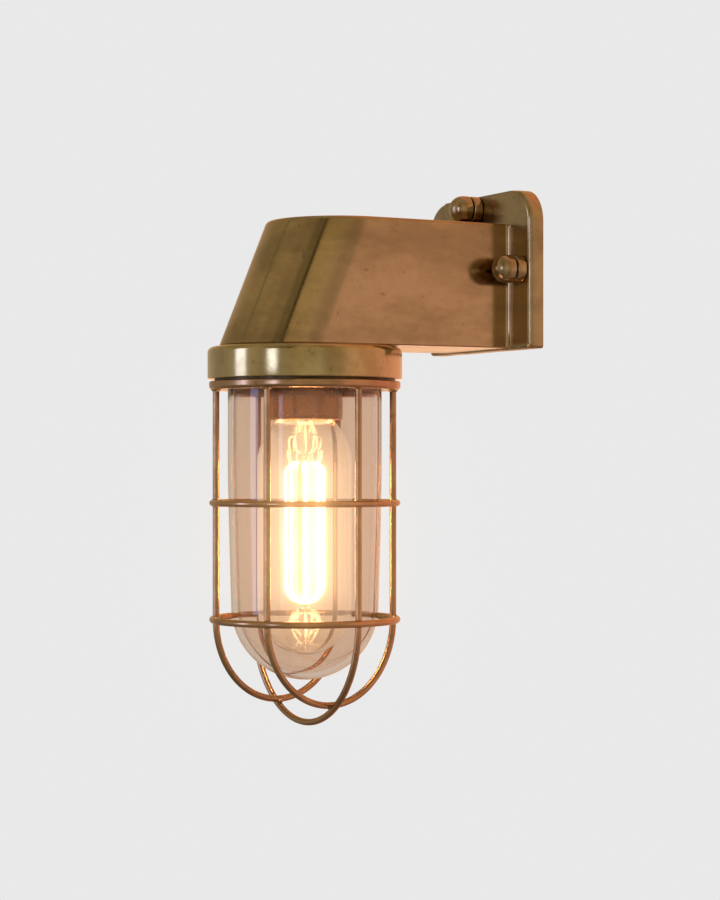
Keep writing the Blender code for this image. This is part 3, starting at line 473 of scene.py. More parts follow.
WELL_GLASS = glass("well_glass", (0.90, 0.745, 0.62), 0.05, absorb=28.0)
# The bulb glass carries a painted glow of the filaments' light.
BULB_GLASS = glass("bulb_glass", (0.985, 0.94, 0.865), 0.04, glow=0.085)
FILAMENT = glowing("filament", (1.0, 0.78, 0.50), 60.0)

BY_SLOT = {
    "cast_brass": CAST,
    "gallery_brass": TURNED,
    "nut_brass": FITTINGS,
    "guard_brass": WIRE,
    "terminal_brass": TERMINAL,
    "steel": STEEL,
    "holder_copper": COPPER,
    "porcelain": PORCELAIN,
    "rubber": RUBBER,
    "block_plastic": BLOCK,
    "well_glass": WELL_GLASS,
    "bulb_glass": BULB_GLASS,
    "nickel": NICKEL,
    "black_glass": VITRITE,
    "filament": FILAMENT,
    "live_wire": LIVE,
    "neutral_wire": NEUTRAL,
    "earth_wire": EARTH,
}
SLOT_OF = {part["node"]: part["material_slot"] for part in frame["record"]["subparts"]}
BODY_OF = {node: body for body, nodes in frame["record"]["behaviour"]["bodies"].items() for node in nodes}


def paint_frame():
    """The small inner pieces keep their CAD shape and get the finish of their slot."""
    for name, obj in frame["nodes"].items():
        for slot in obj.material_slots:
            slot.material = BY_SLOT[SLOT_OF[name]]


# Mesh helpers --------------------------------------------------------------------------------------------

SHARP_AFTER_CUT = 35
BAR_STEPS = 48
CLEAR = 0.001  # how far a cutter stands out of the face it cuts


def add_piece(name, mesh, node, material=None, angle=40.0):
    """A finished piece that stands for a CAD node and moves with its body."""
    mesh.materials.clear()
    mesh.materials.append(material or BY_SLOT[SLOT_OF[node]])
    mesh.shade_smooth()
    mesh.set_sharp_from_angle(angle=math.radians(angle))
    obj = bpy.data.objects.new(name, mesh)
    bpy.context.scene.collection.objects.link(obj)
    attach(obj, BODY_OF[node])
    return obj


def arc(centre, radius, start, end, count):
    """Points of a round stretch, from one angle to another in degrees, both ends included."""
    angles = [math.radians(start + (end - start) * i / count) for i in range(count + 1)]
    return [(centre[0] + radius * math.cos(a), centre[1] + radius * math.sin(a)) for a in angles]


def lathe(name, profile, steps, place):
    """A turned mesh about local Z, from a (radius, z) profile that ends on the axis or is closed."""
    bm = bmesh.new()
    rings = []
    for radius, z in profile:
        if radius < 1e-7:
            rings.append([bm.verts.new((0.0, 0.0, z))])
            continue
        turns = [2 * math.pi * i / steps for i in range(steps)]
        rings.append([bm.verts.new((radius * math.cos(a), radius * math.sin(a), z)) for a in turns])
    pairs = list(zip(rings, rings[1:]))
    if len(rings[0]) > 1 and len(rings[-1]) > 1:
        pairs.append((rings[-1], rings[0]))
    for upper, lower in pairs:
        for i in range(steps):
            j = (i + 1) % steps
            if len(upper) == 1 and len(lower) == 1:
                break
            if len(upper) == 1:
                bm.faces.new((upper[0], lower[i], lower[j]))
            elif len(lower) == 1:
                bm.faces.new((upper[i], lower[0], upper[j]))
            else:
                bm.faces.new((upper[i], lower[i], lower[j], upper[j]))
    bmesh.ops.recalc_face_normals(bm, faces=bm.faces)
    bmesh.ops.transform(bm, matrix=place, verts=bm.verts)
    mesh = bpy.data.meshes.new(name)
    bm.to_mesh(mesh)
    bm.free()
    return mesh


def tube(name, points, radius, sides, place):
    """A round wire along a path, with rings square to it and flat ends."""
    points = [Vector(p) for p in points]
    bm = bmesh.new()
    rings = []
    normal = None
    for i, point in enumerate(points):
        ahead = points[min(i + 1, len(points) - 1)] - points[max(i - 1, 0)]
        ahead.normalize()
        if normal is None:
            normal = ahead.orthogonal().normalized()
        normal = (normal - ahead * normal.dot(ahead)).normalized()
        across = ahead.cross(normal)
        turns = [2 * math.pi * k / sides for k in range(sides)]
        rings.append([bm.verts.new(point + radius * (math.cos(a) * normal + math.sin(a) * across)) for a in turns])
    for first, second in zip(rings, rings[1:]):
        for k in range(sides):
            m = (k + 1) % sides
            bm.faces.new((first[k], first[m], second[m], second[k]))
    bm.faces.new(list(reversed(rings[0])))
    bm.faces.new(rings[-1])
    bmesh.ops.recalc_face_normals(bm, faces=bm.faces)
    bmesh.ops.transform(bm, matrix=place, verts=bm.verts)
    mesh = bpy.data.meshes.new(name)
    bm.to_mesh(mesh)
    bm.free()
    return mesh


def torus(name, major, minor, steps, sides, place, flatten):
    """A ring of wire, lying flat."""
    bm = bmesh.new()
    grid = []
    for i in range(steps):
        a = 2 * math.pi * i / steps
        ring = []
        for k in range(sides):
            b = 2 * math.pi * k / sides
            reach = major + minor * math.cos(b)
            ring.append(bm.verts.new((reach * math.cos(a), reach * math.sin(a), minor * flatten * math.sin(b))))
        grid.append(ring)
    for i in range(steps):
        for k in range(sides):
            j, m = (i + 1) % steps, (k + 1) % sides
            bm.faces.new((grid[i][k], grid[j][k], grid[j][m], grid[i][m]))
    bmesh.ops.recalc_face_normals(bm, faces=bm.faces)
    bmesh.ops.transform(bm, matrix=place, verts=bm.verts)
    mesh = bpy.data.meshes.new(name)
    bm.to_mesh(mesh)
    bm.free()
    return mesh


def apply_modifiers(obj):
    """The evaluated mesh takes the place of the object's own, so that no modifier is left."""
    bpy.context.view_layer.update()
    graph = bpy.context.evaluated_depsgraph_get()
    mesh = bpy.data.meshes.new_from_object(obj.evaluated_get(graph))
    obj.modifiers.clear()
    obj.data = mesh


def cut(obj, meshes):
    """Takes the meshes away from an object, and smooths what is left up to its sharp edges."""
    for mesh in meshes:
        helper = bpy.data.objects.new("helper", mesh)
        bpy.context.scene.collection.objects.link(helper)
        modifier = obj.modifiers.new("shape", "BOOLEAN")
        modifier.operation = "DIFFERENCE"
        modifier.object = helper
        apply_modifiers(obj)
        bpy.data.objects.remove(helper, do_unlink=True)
    obj.data.shade_smooth()
    obj.data.set_sharp_from_angle(angle=math.radians(SHARP_AFTER_CUT))


def prism(name, outline, y_front, y_back):
    """An (x, z) outline pushed through from one depth to another."""
    bm = bmesh.new()
    front = [bm.verts.new((x, y_front, z)) for x, z in outline]
    back = [bm.verts.new((x, y_back, z)) for x, z in outline]
    count = len(outline)
    for i in range(count):
        j = (i + 1) % count
        bm.faces.new((front[i], front[j], back[j], back[i]))
    bm.faces.new(front)
    bm.faces.new(list(reversed(back)))
    bmesh.ops.recalc_face_normals(bm, faces=bm.faces)
    mesh = bpy.data.meshes.new(name)
    bm.to_mesh(mesh)
    bm.free()
    return mesh


def bar(name, radius, start, end):
    """A round bar from one point to another, for boring a hole."""
    start, end = Vector(start), Vector(end)
    length = (end - start).length
    turn = (end - start).to_track_quat("Z", "Y").to_matrix().to_4x4()
    profile = [(0.0, length), (radius, length), (radius, 0.0), (0.0, 0.0)]
    return lathe(name, profile, BAR_STEPS, Matrix.Translation(start) @ turn)


# Back plate ----------------------------------------------------------------------------------------------

PLATE_LOW, PLATE_HIGH = LOW["back_plate"], HIGH["back_plate"]
PLATE_RADIUS = 0.0165
PLATE_FOOT = 0.0015
PLATE_EDGE = 0.0023
PLATE_EDGE_STEPS = 6
PLATE_CORNER_STEPS = 16
RECESS_RIM = 0.0037
RECESS_DEPTH = 0.0031
GROMMET_HOLE = 0.0085
STUD_HOLE = 0.0033
SCREW_HOLE = 0.0023
SCREW_HEAD_HOLE = 0.0039
SCREW_HEAD_DEPTH = 0.0054
THROUGH_PLATE = 0.020
OUTWARD = Matrix.Rotation(math.pi / 2, 4, "X")  # local +Z to -Y, away from the wall


def plate_outline(inset, corner):
    """The plate from the front: rounded shoulders above, small foot corners below."""
    half = PLATE_HIGH.x - inset
    top, bottom = PLATE_HIGH.z - inset, PLATE_LOW.z + inset
    shoulder = PLATE_RADIUS - inset
    right = arc((half - PLATE_FOOT, bottom + PLATE_FOOT), PLATE_FOOT, -90, 0, 4)
    right += arc((half - shoulder, top - shoulder), shoulder, 0, 90, corner)
    return right + [(-x, z) for x, z in reversed(right)]


def rounded_plate():
    """The plate from its wall edge to its face, with the rim rolled over in rings of the outline."""
    bm = bmesh.new()
    front = PLATE_LOW.y
    rings = []
    levels = [(0.0, 0.0), (0.0, front + PLATE_EDGE)]
    for i in range(1, PLATE_EDGE_STEPS + 1):
        a = math.radians(90 * i / PLATE_EDGE_STEPS)
        levels.append((PLATE_EDGE * (1 - math.cos(a)), front + PLATE_EDGE * (1 - math.sin(a))))
    for inset, y in levels:
        rings.append([bm.verts.new((x, y, z)) for x, z in plate_outline_at(inset)])
    count = len(rings[0])
    for first, second in zip(rings, rings[1:]):
        for i in range(count):
            j = (i + 1) % count
            bm.faces.new((first[i], first[j], second[j], second[i]))
    bm.faces.new(rings[-1])
    bm.faces.new(list(reversed(rings[0])))
    bmesh.ops.recalc_face_normals(bm, faces=bm.faces)
    mesh = bpy.data.meshes.new("plate")
    bm.to_mesh(mesh)
    bm.free()
    return mesh


def plate_outline_at(inset):
    """The outline drawn in by an inset, point for point, with its foot corners kept round."""
    half = PLATE_HIGH.x
    middle_z = (PLATE_LOW.z + PLATE_HIGH.z) / 2
    points = []
    for x, z in plate_outline(0.0, PLATE_CORNER_STEPS):
        if z > PLATE_HIGH.z - PLATE_RADIUS and abs(x) > half - PLATE_RADIUS:
            hub = Vector((math.copysign(half - PLATE_RADIUS, x), PLATE_HIGH.z - PLATE_RADIUS))
            away = Vector((x, z)) - hub
            away = away.normalized() * (away.length - inset)
            points.append((hub.x + away.x, hub.y + away.y))
        elif z < middle_z:
            points.append((math.copysign(abs(x) - inset, x), z + inset))
        else:
            points.append((math.copysign(abs(x) - inset, x), z))
    return points


def node_centre(node):
    return (LOW[node] + HIGH[node]) / 2


def stud_centres():
    """(key, x, z) of each stud."""
    for key in ("top", "near", "far"):
        centre = node_centre(f"stud_{key}")
        yield key, centre.x, centre.z


def make_plate():
    """The plate, hollowed from behind for the wall bracket, and bored for the cable, the studs and the arm screws."""
    plate = add_piece("plate_cast", rounded_plate(), "back_plate", PLATE)
    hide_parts("back_plate")

    def bore(radius, x, z, depth):
        return bar("hole", radius, (x, CLEAR, z), (x, -depth, z))

    cutters = [prism("recess", plate_outline(RECESS_RIM, 12), -RECESS_DEPTH, CLEAR)]
    cutters.append(bore(GROMMET_HOLE, 0.0, node_centre("cable_grommet").z, THROUGH_PLATE))
    cutters += [bore(STUD_HOLE, x, z, THROUGH_PLATE) for _, x, z in stud_centres()]
    for i in range(1, 5):
        screw = node_centre(f"arm_screw_{i}")
        cutters.append(bore(SCREW_HOLE, screw.x, screw.z, THROUGH_PLATE))
        cutters.append(bore(SCREW_HEAD_HOLE, screw.x, screw.z, SCREW_HEAD_DEPTH))
    cut(plate, cutters)


NUT_BORE = 0.0031
NUT_BORE_DEPTH = 0.0085
NUT_EDGE = 0.0006
SPACER_BEVEL = 0.0003
NUT_STEPS = 56


def make_nuts():
    """Turned spacers and dome nuts on the studs."""
    for key, x, z in stud_centres():
        place = Matrix.Translation((x, 0.0, z)) @ OUTWARD
        spacer, nut = f"nut_spacer_{key}", f"dome_nut_{key}"
        outer = (HIGH[spacer].x - LOW[spacer].x) / 2
        near, far = -HIGH[spacer].y, -LOW[spacer].y
        profile = [(NUT_BORE, far), *arc((outer - NUT_EDGE, far - NUT_EDGE), NUT_EDGE, 90, 0, 4)]
        profile += [(outer, near + SPACER_BEVEL), (outer - SPACER_BEVEL, near), (NUT_BORE, near)]
        piece = add_piece(f"spacer_{key}", lathe("spacer", profile, NUT_STEPS, place), spacer)
        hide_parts(spacer)
        rim, tip = -HIGH[nut].y, -LOW[nut].y
        radius = (HIGH[nut].z - LOW[nut].z) / 2
        profile = [(0.0, tip), *arc((0.0, tip - radius), radius, 90, 0, 16)[1:]]
        profile += [(radius, rim + NUT_EDGE), (radius - NUT_EDGE, rim), (NUT_BORE, rim)]
        profile += [(NUT_BORE, rim + NUT_BORE_DEPTH), (0.0, rim + NUT_BORE_DEPTH)]
        piece = add_piece(f"nut_{key}", lathe("nut", profile, NUT_STEPS, place), nut)
        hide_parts(nut)


# Arm -----------------------------------------------------------------------------------------------------

ARM_LOW, ARM_HIGH = LOW["arm_casting"], HIGH["arm_casting"]
ARM_NOSE_HALF = ARM_HIGH.x
ARM_WALL_HALF = 0.0320
ARM_NOSE_BOTTOM = LAMP_Y - 0.0072
ARM_NOSE_TOP = LAMP_Y + 0.0183
ARM_FILLET = 0.0024
ARM_EDGE = 0.0017
ARM_WALL = 0.0035
ARM_FLOOR = 0.0040
ARM_FOOT_BEVEL = 0.0005
ARM_PLATE_GAP = 0.00005
ARM_NOSE_STEPS = 40
ARM_SIDE_STEPS = 6
ARM_EDGE_STEPS = 6
ARM_WAY_DOWN = 0.0070


def arm_section(z, inset, wall_y, fillet):
    """The arm in plan: straight, slightly tapered sides with a fillet at the plate, and a half-round nose."""
    share = (z - ARM_LOW.z) / (ARM_HIGH.z - ARM_LOW.z)
    centre = ARM_NOSE_BOTTOM + (ARM_NOSE_TOP - ARM_NOSE_BOTTOM) * share
    nose, wall = ARM_NOSE_HALF - inset, ARM_WALL_HALF - inset
    half = []
    if fillet:
        half += arc((wall + fillet, wall_y - fillet), fillet, 90, 180, 8)
    else:
        half.append((wall, wall_y))
    start = half[-1]
    for step in (0.25, 0.5, 0.75):
        half.append((start[0] + (nose - start[0]) * step, start[1] + (centre - start[1]) * step))
    half += arc((0.0, centre), nose, 0, -90, ARM_NOSE_STEPS)
    return half + [(-x, y) for x, y in reversed(half[:-1])]


def arm_shell(wall_y, fillet, levels):
    """The arm's sections stacked up, from (height, inset) levels."""
    bm = bmesh.new()
    rings = []
    for z, inset in levels:
        section = arm_section(z, inset, wall_y, fillet)
        rings.append([bm.verts.new((x, y, z)) for x, y in section])
    count = len(rings[0])
    for lower, upper in zip(rings, rings[1:]):
        for i in range(count):
            j = (i + 1) % count
            bm.faces.new((lower[i], lower[j], upper[j], upper[i]))
    bm.faces.new(list(reversed(rings[0])))
    bm.faces.new(rings[-1])
    bmesh.ops.recalc_face_normals(bm, faces=bm.faces)
    mesh = bpy.data.meshes.new("arm")
    bm.to_mesh(mesh)
    bm.free()
    return mesh


def make_arm():
    """The hollow arm, open to the plate and to the gallery."""
    wall_y = PLATE_LOW.y - ARM_PLATE_GAP
    bottom, top = ARM_LOW.z, ARM_HIGH.z
    levels = [(bottom, ARM_FOOT_BEVEL), (bottom + ARM_FOOT_BEVEL, 0.0)]
    levels += [(bottom + (top - bottom) * k / ARM_SIDE_STEPS, 0.0) for k in range(1, ARM_SIDE_STEPS)]
    for i in range(ARM_EDGE_STEPS + 1):
        a = math.radians(90 * i / ARM_EDGE_STEPS)
        levels.append((top - ARM_EDGE * (1 - math.sin(a)), ARM_EDGE * (1 - math.cos(a))))
    arm = add_piece("arm_cast", arm_shell(wall_y, ARM_FILLET, levels), "arm_casting")
    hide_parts("arm_casting")
    floor = bottom + ARM_FLOOR
    hollow = arm_shell(wall_y + CLEAR, 0.0, [(floor, ARM_WALL), (top - ARM_WALL, ARM_WALL)])
    way_down = bar("hole", ARM_WAY_DOWN, (0, LAMP_Y, bottom - CLEAR), (0, LAMP_Y, floor + CLEAR))
    cut(arm, [hollow, way_down])


# Gallery, guard and glass --------------------------------------------------------------------------------


LATHE_STEPS = 160
GALLERY_BORE = 0.0070
GALLERY_EDGE = 0.0030
GALLERY_LIP = 0.0006
GALLERY_ROOF = 0.0036
GALLERY_THREAD = 0.0446  # radius of the bore that the guard's collar screws into
GALLERY_STEP = 0.0360
GALLERY_STEP_Z = -0.0465
BRACKET_SCREW_DEPTH = 0.0024


def make_gallery():
    """The collar under the arm's nose, hollow below, with its screw holes."""
    top, bottom = HIGH["gallery"].z, LOW["gallery"].z
    roof = top - GALLERY_ROOF
    profile = [(GALLERY_BORE, top), (0.020, top)]
    profile += arc((GALLERY_RADIUS - GALLERY_EDGE, top - GALLERY_EDGE), GALLERY_EDGE, 90, 0, 10)
    profile += arc((GALLERY_RADIUS - GALLERY_LIP, bottom + GALLERY_LIP), GALLERY_LIP, 0, -90, 4)
    profile += [(GALLERY_THREAD, bottom), (GALLERY_THREAD, GALLERY_STEP_Z), (GALLERY_STEP, GALLERY_STEP_Z)]
    profile += [(GALLERY_STEP, roof), (GALLERY_BORE, roof)]
    mesh = lathe("gallery", profile, LATHE_STEPS, Matrix.Translation(LAMP))
    piece = add_piece("gallery_turned", mesh, "gallery")
    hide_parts("gallery")
    cutters = []
    for i in range(1, 4):
        screw = node_centre(f"gallery_screw_{i}")
        ends = (screw.x, screw.y, roof - CLEAR), (screw.x, screw.y, top + CLEAR)
        cutters.append(bar("hole", SCREW_HOLE, *ends))
    for node in ("bracket_screw_near", "bracket_screw_far"):
        x = node_centre(node).x
        ends = (x, LAMP_Y, roof - CLEAR), (x, LAMP_Y, roof + BRACKET_SCREW_DEPTH)
        cutters.append(bar("hole", SCREW_HOLE, *ends))
    cut(piece, cutters)


GUARD_PLACE = Matrix.Translation(LAMP) @ Matrix.Rotation(GUARD_TURN, 4, "Z")
GUARD_BOTTOM = LOW["guard_ring"].z
WIRE_RADIUS = 0.00165
WIRE_CIRCLE = 0.0437
RING_RADIUS = 0.0017
RING_CIRCLE = HIGH["ring_mid"].x - RING_RADIUS
RING_MID_Z = (LOW["ring_mid"].z + HIGH["ring_mid"].z) / 2
RING_LOWER_Z = (LOW["ring_lower"].z + HIGH["ring_lower"].z) / 2
HOOP_DEPTH = RING_LOWER_Z - LOW["hoop_centre"].z - WIRE_RADIUS
SIDE_DEPTH = RING_LOWER_Z - LOW["hoop_near"].z - WIRE_RADIUS
HOOP_SIDE_STEPS = 14
HOOP_ROUND_STEPS = 64
MID_RING_FLATTEN = 0.94

BAND_TOP = -0.0561
BAND_TOP_EDGE = 0.0005
BAND_LOW_EDGE = 0.0017
BAND_BORE_EDGE = 0.0010
COLLAR_TOP = -0.0490
COLLAR_BORE = 0.0427
COLLAR_RADIUS = 0.0443
COLLAR_BEVEL = 0.0003
GUARD_BORE = 0.0383
GUARD_SEAT_Z = -0.0534
GROOVE_RADIUS = 0.0452


def make_guard_ring():
    """The guard's screwed collar and the band under it, with painted shade on the collar in the groove between the
    band and the gallery.
    """
    collar = (COLLAR_RADIUS - COLLAR_BEVEL, COLLAR_TOP), (COLLAR_RADIUS, COLLAR_TOP - COLLAR_BEVEL)
    profile = [(COLLAR_BORE, COLLAR_TOP), *collar, (COLLAR_RADIUS, BAND_TOP)]
    profile += arc((GUARD_RADIUS - BAND_TOP_EDGE, BAND_TOP - BAND_TOP_EDGE), BAND_TOP_EDGE, 90, 0, 3)
    profile += arc((GUARD_RADIUS - BAND_LOW_EDGE, GUARD_BOTTOM + BAND_LOW_EDGE), BAND_LOW_EDGE, 0, -90, 8)
    profile += arc((GUARD_BORE + BAND_BORE_EDGE, GUARD_BOTTOM + BAND_BORE_EDGE), BAND_BORE_EDGE, -90, -180, 4)
    profile += [(GUARD_BORE, GUARD_SEAT_Z), (COLLAR_BORE, GUARD_SEAT_Z)]
    mesh = lathe("guard_ring", profile, LATHE_STEPS, GUARD_PLACE)
    piece = add_piece("guard_ring_turned", mesh, "guard_ring")
    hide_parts("guard_ring")
    # The collar's faces inside the groove get the near-black brass: painted shade.
    piece.data.materials.append(GROOVE_SHADE)
    for face in piece.data.polygons:
        out = (face.center - LAMP).xy.length
        face.material_index = int(out < GROOVE_RADIUS and face.center.z > BAND_TOP - 0.0001)


def hoop_points(offset, depth):
    """A hoop's path: down one side, round the half ellipse below the lower ring, and up the other side."""
    half = math.sqrt(WIRE_CIRCLE**2 - offset**2)
    top = GUARD_BOTTOM + 0.0006
    side = [top + (RING_LOWER_Z - top) * k / HOOP_SIDE_STEPS for k in range(HOOP_SIDE_STEPS)]
    turn = [math.pi * i / HOOP_ROUND_STEPS for i in range(HOOP_ROUND_STEPS + 1)]
    flat = [(half, z) for z in side]
    flat += [(half * math.cos(a), RING_LOWER_Z - depth * math.sin(a)) for a in turn]
    flat += [(-half, z) for z in reversed(side)]
    return [(offset, x, z) if offset else (x, 0.0, z) for x, z in flat]


def make_cage():
    """Three wire hoops and two wire rings."""
    side = WIRE_CIRCLE / 2
    hoops = (("centre", 0.0, HOOP_DEPTH), ("near", side, SIDE_DEPTH), ("far", -side, SIDE_DEPTH))
    for key, offset, depth in hoops:
        mesh = tube("hoop", hoop_points(offset, depth), WIRE_RADIUS, 20, GUARD_PLACE)
        piece = add_piece(f"wire_{key}", mesh, f"hoop_{key}", angle=60)
        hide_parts(f"hoop_{key}")
    for key, z, flatten in (("mid", RING_MID_Z, MID_RING_FLATTEN), ("lower", RING_LOWER_Z, 1.0)):
        place = GUARD_PLACE @ Matrix.Translation((0, 0, z))
        mesh = torus("ring", RING_CIRCLE, RING_RADIUS, 144, 20, place, flatten)
        piece = add_piece(f"wire_ring_{key}", mesh, f"ring_{key}")
        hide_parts(f"ring_{key}")


RING_JOINT = (0.0017, 0.0025, 0.0023)
BAND_JOINT = (0.0024, 0.0024, 0.0009)
CROSSING_JOINT = (0.0021, 0.0021, 0.0014)


def blob(bm, centre, size, turn):
    """A small fillet of braze, drawn thin along the wire."""
    made = bmesh.ops.create_uvsphere(bm, u_segments=20, v_segments=12, radius=1.0)
    place = Matrix.Translation(centre) @ Matrix.Rotation(turn, 4, "Z") @ Matrix.Diagonal((*size, 1.0))
    bmesh.ops.transform(bm, matrix=place, verts=made["verts"])


def make_braze():
    """Braze where each wire meets the two rings and the ring band, and where the side hoops cross the centre."""
    reach = (WIRE_CIRCLE + RING_CIRCLE) / 2
    joints = []
    for k in range(6):
        a = math.pi / 3 * k
        foot = Vector((math.cos(a), math.sin(a), 0.0))
        for z in (RING_MID_Z, RING_LOWER_Z):
            joints.append((foot * reach + Vector((0, 0, z)), RING_JOINT, a))
        joints.append((foot * WIRE_CIRCLE + Vector((0, 0, GUARD_BOTTOM - 0.0001)), BAND_JOINT, a))
    bm = bmesh.new()
    for centre, size, turn in joints:
        blob(bm, centre, size, turn)
    crossing_z = RING_LOWER_Z - SIDE_DEPTH - 0.0010
    for side in (-1, 1):
        blob(bm, Vector((side * WIRE_CIRCLE / 2, 0.0, crossing_z)), CROSSING_JOINT, 0.0)
    bmesh.ops.transform(bm, matrix=GUARD_PLACE, verts=bm.verts)
    mesh = bpy.data.meshes.new("braze")
    bm.to_mesh(mesh)
    bm.free()
    add_piece("braze_fillets", mesh, "guard_ring", BRAZE)


WELL_STEPS = 128
WELL_WALL = 0.0030
WELL_SIDE = 0.0379
WELL_END = 0.0363  # radius of the round end
WELL_TAPER_Z = -0.0980
WELL_TAPER_CURVE = 1.25
WELL_RIM = 0.0030
WELL_EDGE = 0.0006
WELL_FILLET = 0.0008


def well_slope(radius, finish, start_z, end_z):
    """The side from under the rim to the round end, straight at first and then drawn in on a curve."""
    points = [(radius, start_z + (WELL_TAPER_Z - start_z) * k / 6) for k in range(1, 7)]
    for k in range(1, 12):
        share = k / 12
        drawn = radius + (finish - radius) * share**WELL_TAPER_CURVE
        points.append((drawn, WELL_TAPER_Z + (end_z - WELL_TAPER_Z) * share))
    return points


def make_well():
    """The well glass: a flanged rim, a side that draws in a little, and a half-round end."""
    rim, top, low = HIGH["well_glass"].x, HIGH["well_glass"].z, LOW["well_glass"].z
    end_z = low + WELL_END
    rim_low = top - WELL_RIM
    outer = [(rim - WELL_EDGE, top), (rim, top - WELL_EDGE)]
    outer += arc((rim - WELL_FILLET, rim_low + WELL_FILLET), WELL_FILLET, 0, -90, 3)
    outer += [(WELL_SIDE + WELL_EDGE, rim_low), (WELL_SIDE, rim_low - WELL_FILLET)]
    outer += well_slope(WELL_SIDE, WELL_END, rim_low, end_z)[1:]
    outer += arc((0.0, end_z), WELL_END, 0, -90, 36)[:-1] + [(0.0, low)]
    inner = [(0.0, low + WELL_WALL), *arc((0.0, end_z), WELL_END - WELL_WALL, -90, 0, 36)[1:]]
    inner += list(reversed(well_slope(WELL_SIDE - WELL_WALL, WELL_END - WELL_WALL, rim_low, end_z)))
    inner += [(WELL_SIDE - WELL_WALL, top - WELL_EDGE), (WELL_SIDE - WELL_WALL + WELL_EDGE, top)]
    mesh = lathe("well", outer + inner, WELL_STEPS, Matrix.Translation(LAMP))
    piece = add_piece("well_blown", mesh, "well_glass", angle=50)
    piece.visible_shadow = False
    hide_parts("well_glass")


# Lampholder and bulb -------------------------------------------------------------------------------------


SKIRT_WALL = 0.0013
SKIRT_EDGE = 0.0004
SKIRT_LIP = 0.0005
BULB_STEPS = 96
BULB_WALL = 0.0010
BULB_NECK = 0.0121
BULB_SHOULDER_TOP = -0.0740
BULB_SHOULDER_LOW = -0.0964
BULB_SWELL = 0.72
BULB_SHOULDER_STEPS = 14
BULB_SIDE_STEPS = 8
BULB_END_STEPS = 26


def make_skirt():
    """The lampholder's spun skirt, with a fine groove above its lip."""
    node = "lampholder_skirt"
    radius, top, bottom = HIGH[node].x, HIGH[node].z, LOW[node].z
    inner = radius - SKIRT_WALL
    groove = radius - 0.0003
    profile = [(radius - SKIRT_EDGE, top), (radius, top - SKIRT_EDGE)]
    profile += [(radius, bottom + 0.0016), (groove, bottom + 0.0014), (groove, bottom + 0.0011)]
    profile += arc((radius - SKIRT_LIP, bottom + SKIRT_LIP), SKIRT_LIP, 0, -90, 4)
    profile += [(inner, bottom), (inner, top)]
    piece = add_piece("skirt_spun", lathe("skirt", profile, BULB_STEPS, Matrix.Translation(LAMP)), node)
    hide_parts(node)


def bulb_side(shrink):
    """The bulb from its neck down to its tip, drawn in by the wall for the inner face."""
    low, high = LOW["bulb_glass"], HIGH["bulb_glass"]
    radius, neck = high.x - shrink, BULB_NECK - shrink
    points = [(neck, high.z), (neck, BULB_SHOULDER_TOP + 0.0005)]
    fall = BULB_SHOULDER_LOW - BULB_SHOULDER_TOP
    for k in range(1, BULB_SHOULDER_STEPS + 1):
        share = k / BULB_SHOULDER_STEPS
        swell = math.sin(math.pi / 2 * share) ** BULB_SWELL
        points.append((neck + (radius - neck) * swell, BULB_SHOULDER_TOP + fall * share))
    level = low.z + high.x
    drop = level - BULB_SHOULDER_LOW
    points += [(radius, BULB_SHOULDER_LOW + drop * k / BULB_SIDE_STEPS) for k in range(1, BULB_SIDE_STEPS)]
    points += arc((0.0, level), radius, 0, -90, BULB_END_STEPS)[:-1]
    return points + [(0.0, low.z + shrink)]


def make_bulb():
    profile = bulb_side(0.0) + list(reversed(bulb_side(BULB_WALL)))
    mesh = lathe("bulb", profile, BULB_STEPS, Matrix.Translation(LAMP))
    piece = add_piece("bulb_blown", mesh, "bulb_glass", angle=60)
    piece.visible_shadow = False
    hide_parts("bulb_glass")


# The glass stem inside the bulb, as (radius, z)
STEM = [
    (0.0, -0.0690), (0.0030, -0.0690), (0.0034, -0.0740), (0.0043, -0.0775), (0.0060, -0.0812), (0.0082, -0.0845),
    (0.0091, -0.0868), (0.0092, -0.0884), (0.0086, -0.0898), (0.0070, -0.0905), (0.0040, -0.0910), (0.0022, -0.0922),
    (0.0016, -0.0940), (0.0015, -0.0960), (0.0, -0.0962),
]  # fmt: skip
STEM_STEPS = 48


def make_stem():
    mesh = lathe("stem", STEM, STEM_STEPS, Matrix.Translation(LAMP))
    piece = add_piece("stem_drawn", mesh, "bulb_stem", angle=60)
    piece.visible_shadow = False
    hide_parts("bulb_stem")


FILAMENTS = 8
FILAMENT_TOP = -0.0957
FILAMENT_LOW = -0.1646
FILAMENT_REACH = 0.0094
FILAMENT_RADIUS = 0.00050
FILAMENT_STEPS = 60
FILAMENT_WANDER = 0.0002
BOW_OUT = 0.07  # share of the length over which they bow out at the top
DRAW_IN = 0.87  # share of the length where they begin to draw together


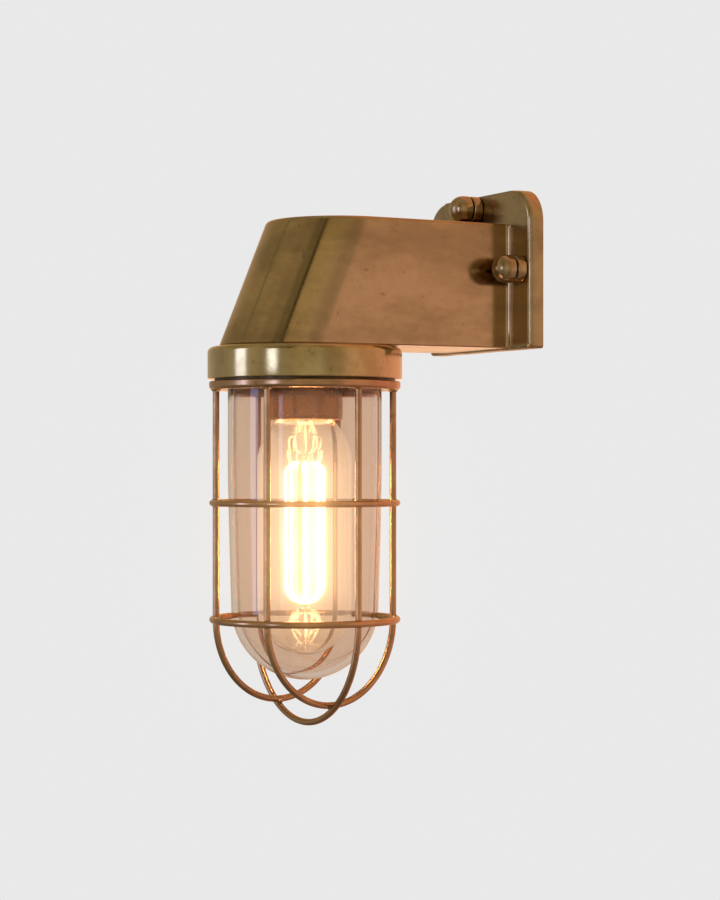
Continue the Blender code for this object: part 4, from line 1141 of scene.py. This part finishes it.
def filament_reach(share):
    """How far a filament stands from the lamp's axis, down its length from 0 to 1."""
    reach = FILAMENT_REACH
    if share < BOW_OUT:
        reach *= 0.55 + 0.45 * math.sin(math.pi / 2 * share / BOW_OUT)
    if share > DRAW_IN:
        reach *= 0.10 + 0.90 * math.sqrt(max(0.0, 1.0 - ((share - DRAW_IN) / (1.0 - DRAW_IN)) ** 2))
    return reach


def make_filaments():
    """Eight glowing strips in a cage, bowed out and drawn together at the lower hook."""
    for i in range(FILAMENTS):
        node = f"filament_{i + 1}"
        turn = 2 * math.pi * (i + 0.5) / FILAMENTS
        points = []
        for k in range(FILAMENT_STEPS + 1):
            share = k / FILAMENT_STEPS
            z = FILAMENT_TOP + (FILAMENT_LOW - FILAMENT_TOP) * share
            reach = filament_reach(share) + FILAMENT_WANDER * math.sin(17.0 * share + i)
            points.append((reach * math.cos(turn), reach * math.sin(turn), z))
        mesh = tube("filament", points, FILAMENT_RADIUS, 10, Matrix.Translation(LAMP))
        piece = add_piece(f"glow_{i + 1}", mesh, node, angle=80)
        piece.visible_shadow = False
        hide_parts(node)


# Look ----------------------------------------------------------------------------------------------------

BLOOM = {"Threshold": 1.5, "Clamp": True, "Maximum": 15.0, "Strength": 0.70, "Size": 0.22}
BLOOM_TINT = (1.0, 0.93, 0.82, 1.0)


def make_bloom():
    """The halo that the hot filaments make in a lens."""
    scene = bpy.context.scene
    scene.use_nodes = True
    tree = scene.node_tree
    tree.nodes.clear()
    picture = tree.nodes.new("CompositorNodeRLayers")
    bloom = tree.nodes.new("CompositorNodeGlare")
    bloom.glare_type = "BLOOM"
    for name, value in BLOOM.items():
        bloom.inputs[name].default_value = value
    bloom.inputs["Tint"].default_value = BLOOM_TINT
    output = tree.nodes.new("CompositorNodeComposite")
    link(tree, (picture.outputs["Image"], bloom.inputs["Image"]), (bloom.outputs["Image"], output.inputs["Image"]))


make_camera()
make_world()
make_floor()
make_lamp_light()
paint_frame()
make_plate()
make_nuts()
make_arm()
make_gallery()
make_guard_ring()
make_cage()
make_braze()
make_well()
make_skirt()
make_bulb()
make_stem()
make_filaments()
bpy.context.scene.view_settings.view_transform = "Standard"
make_bloom()
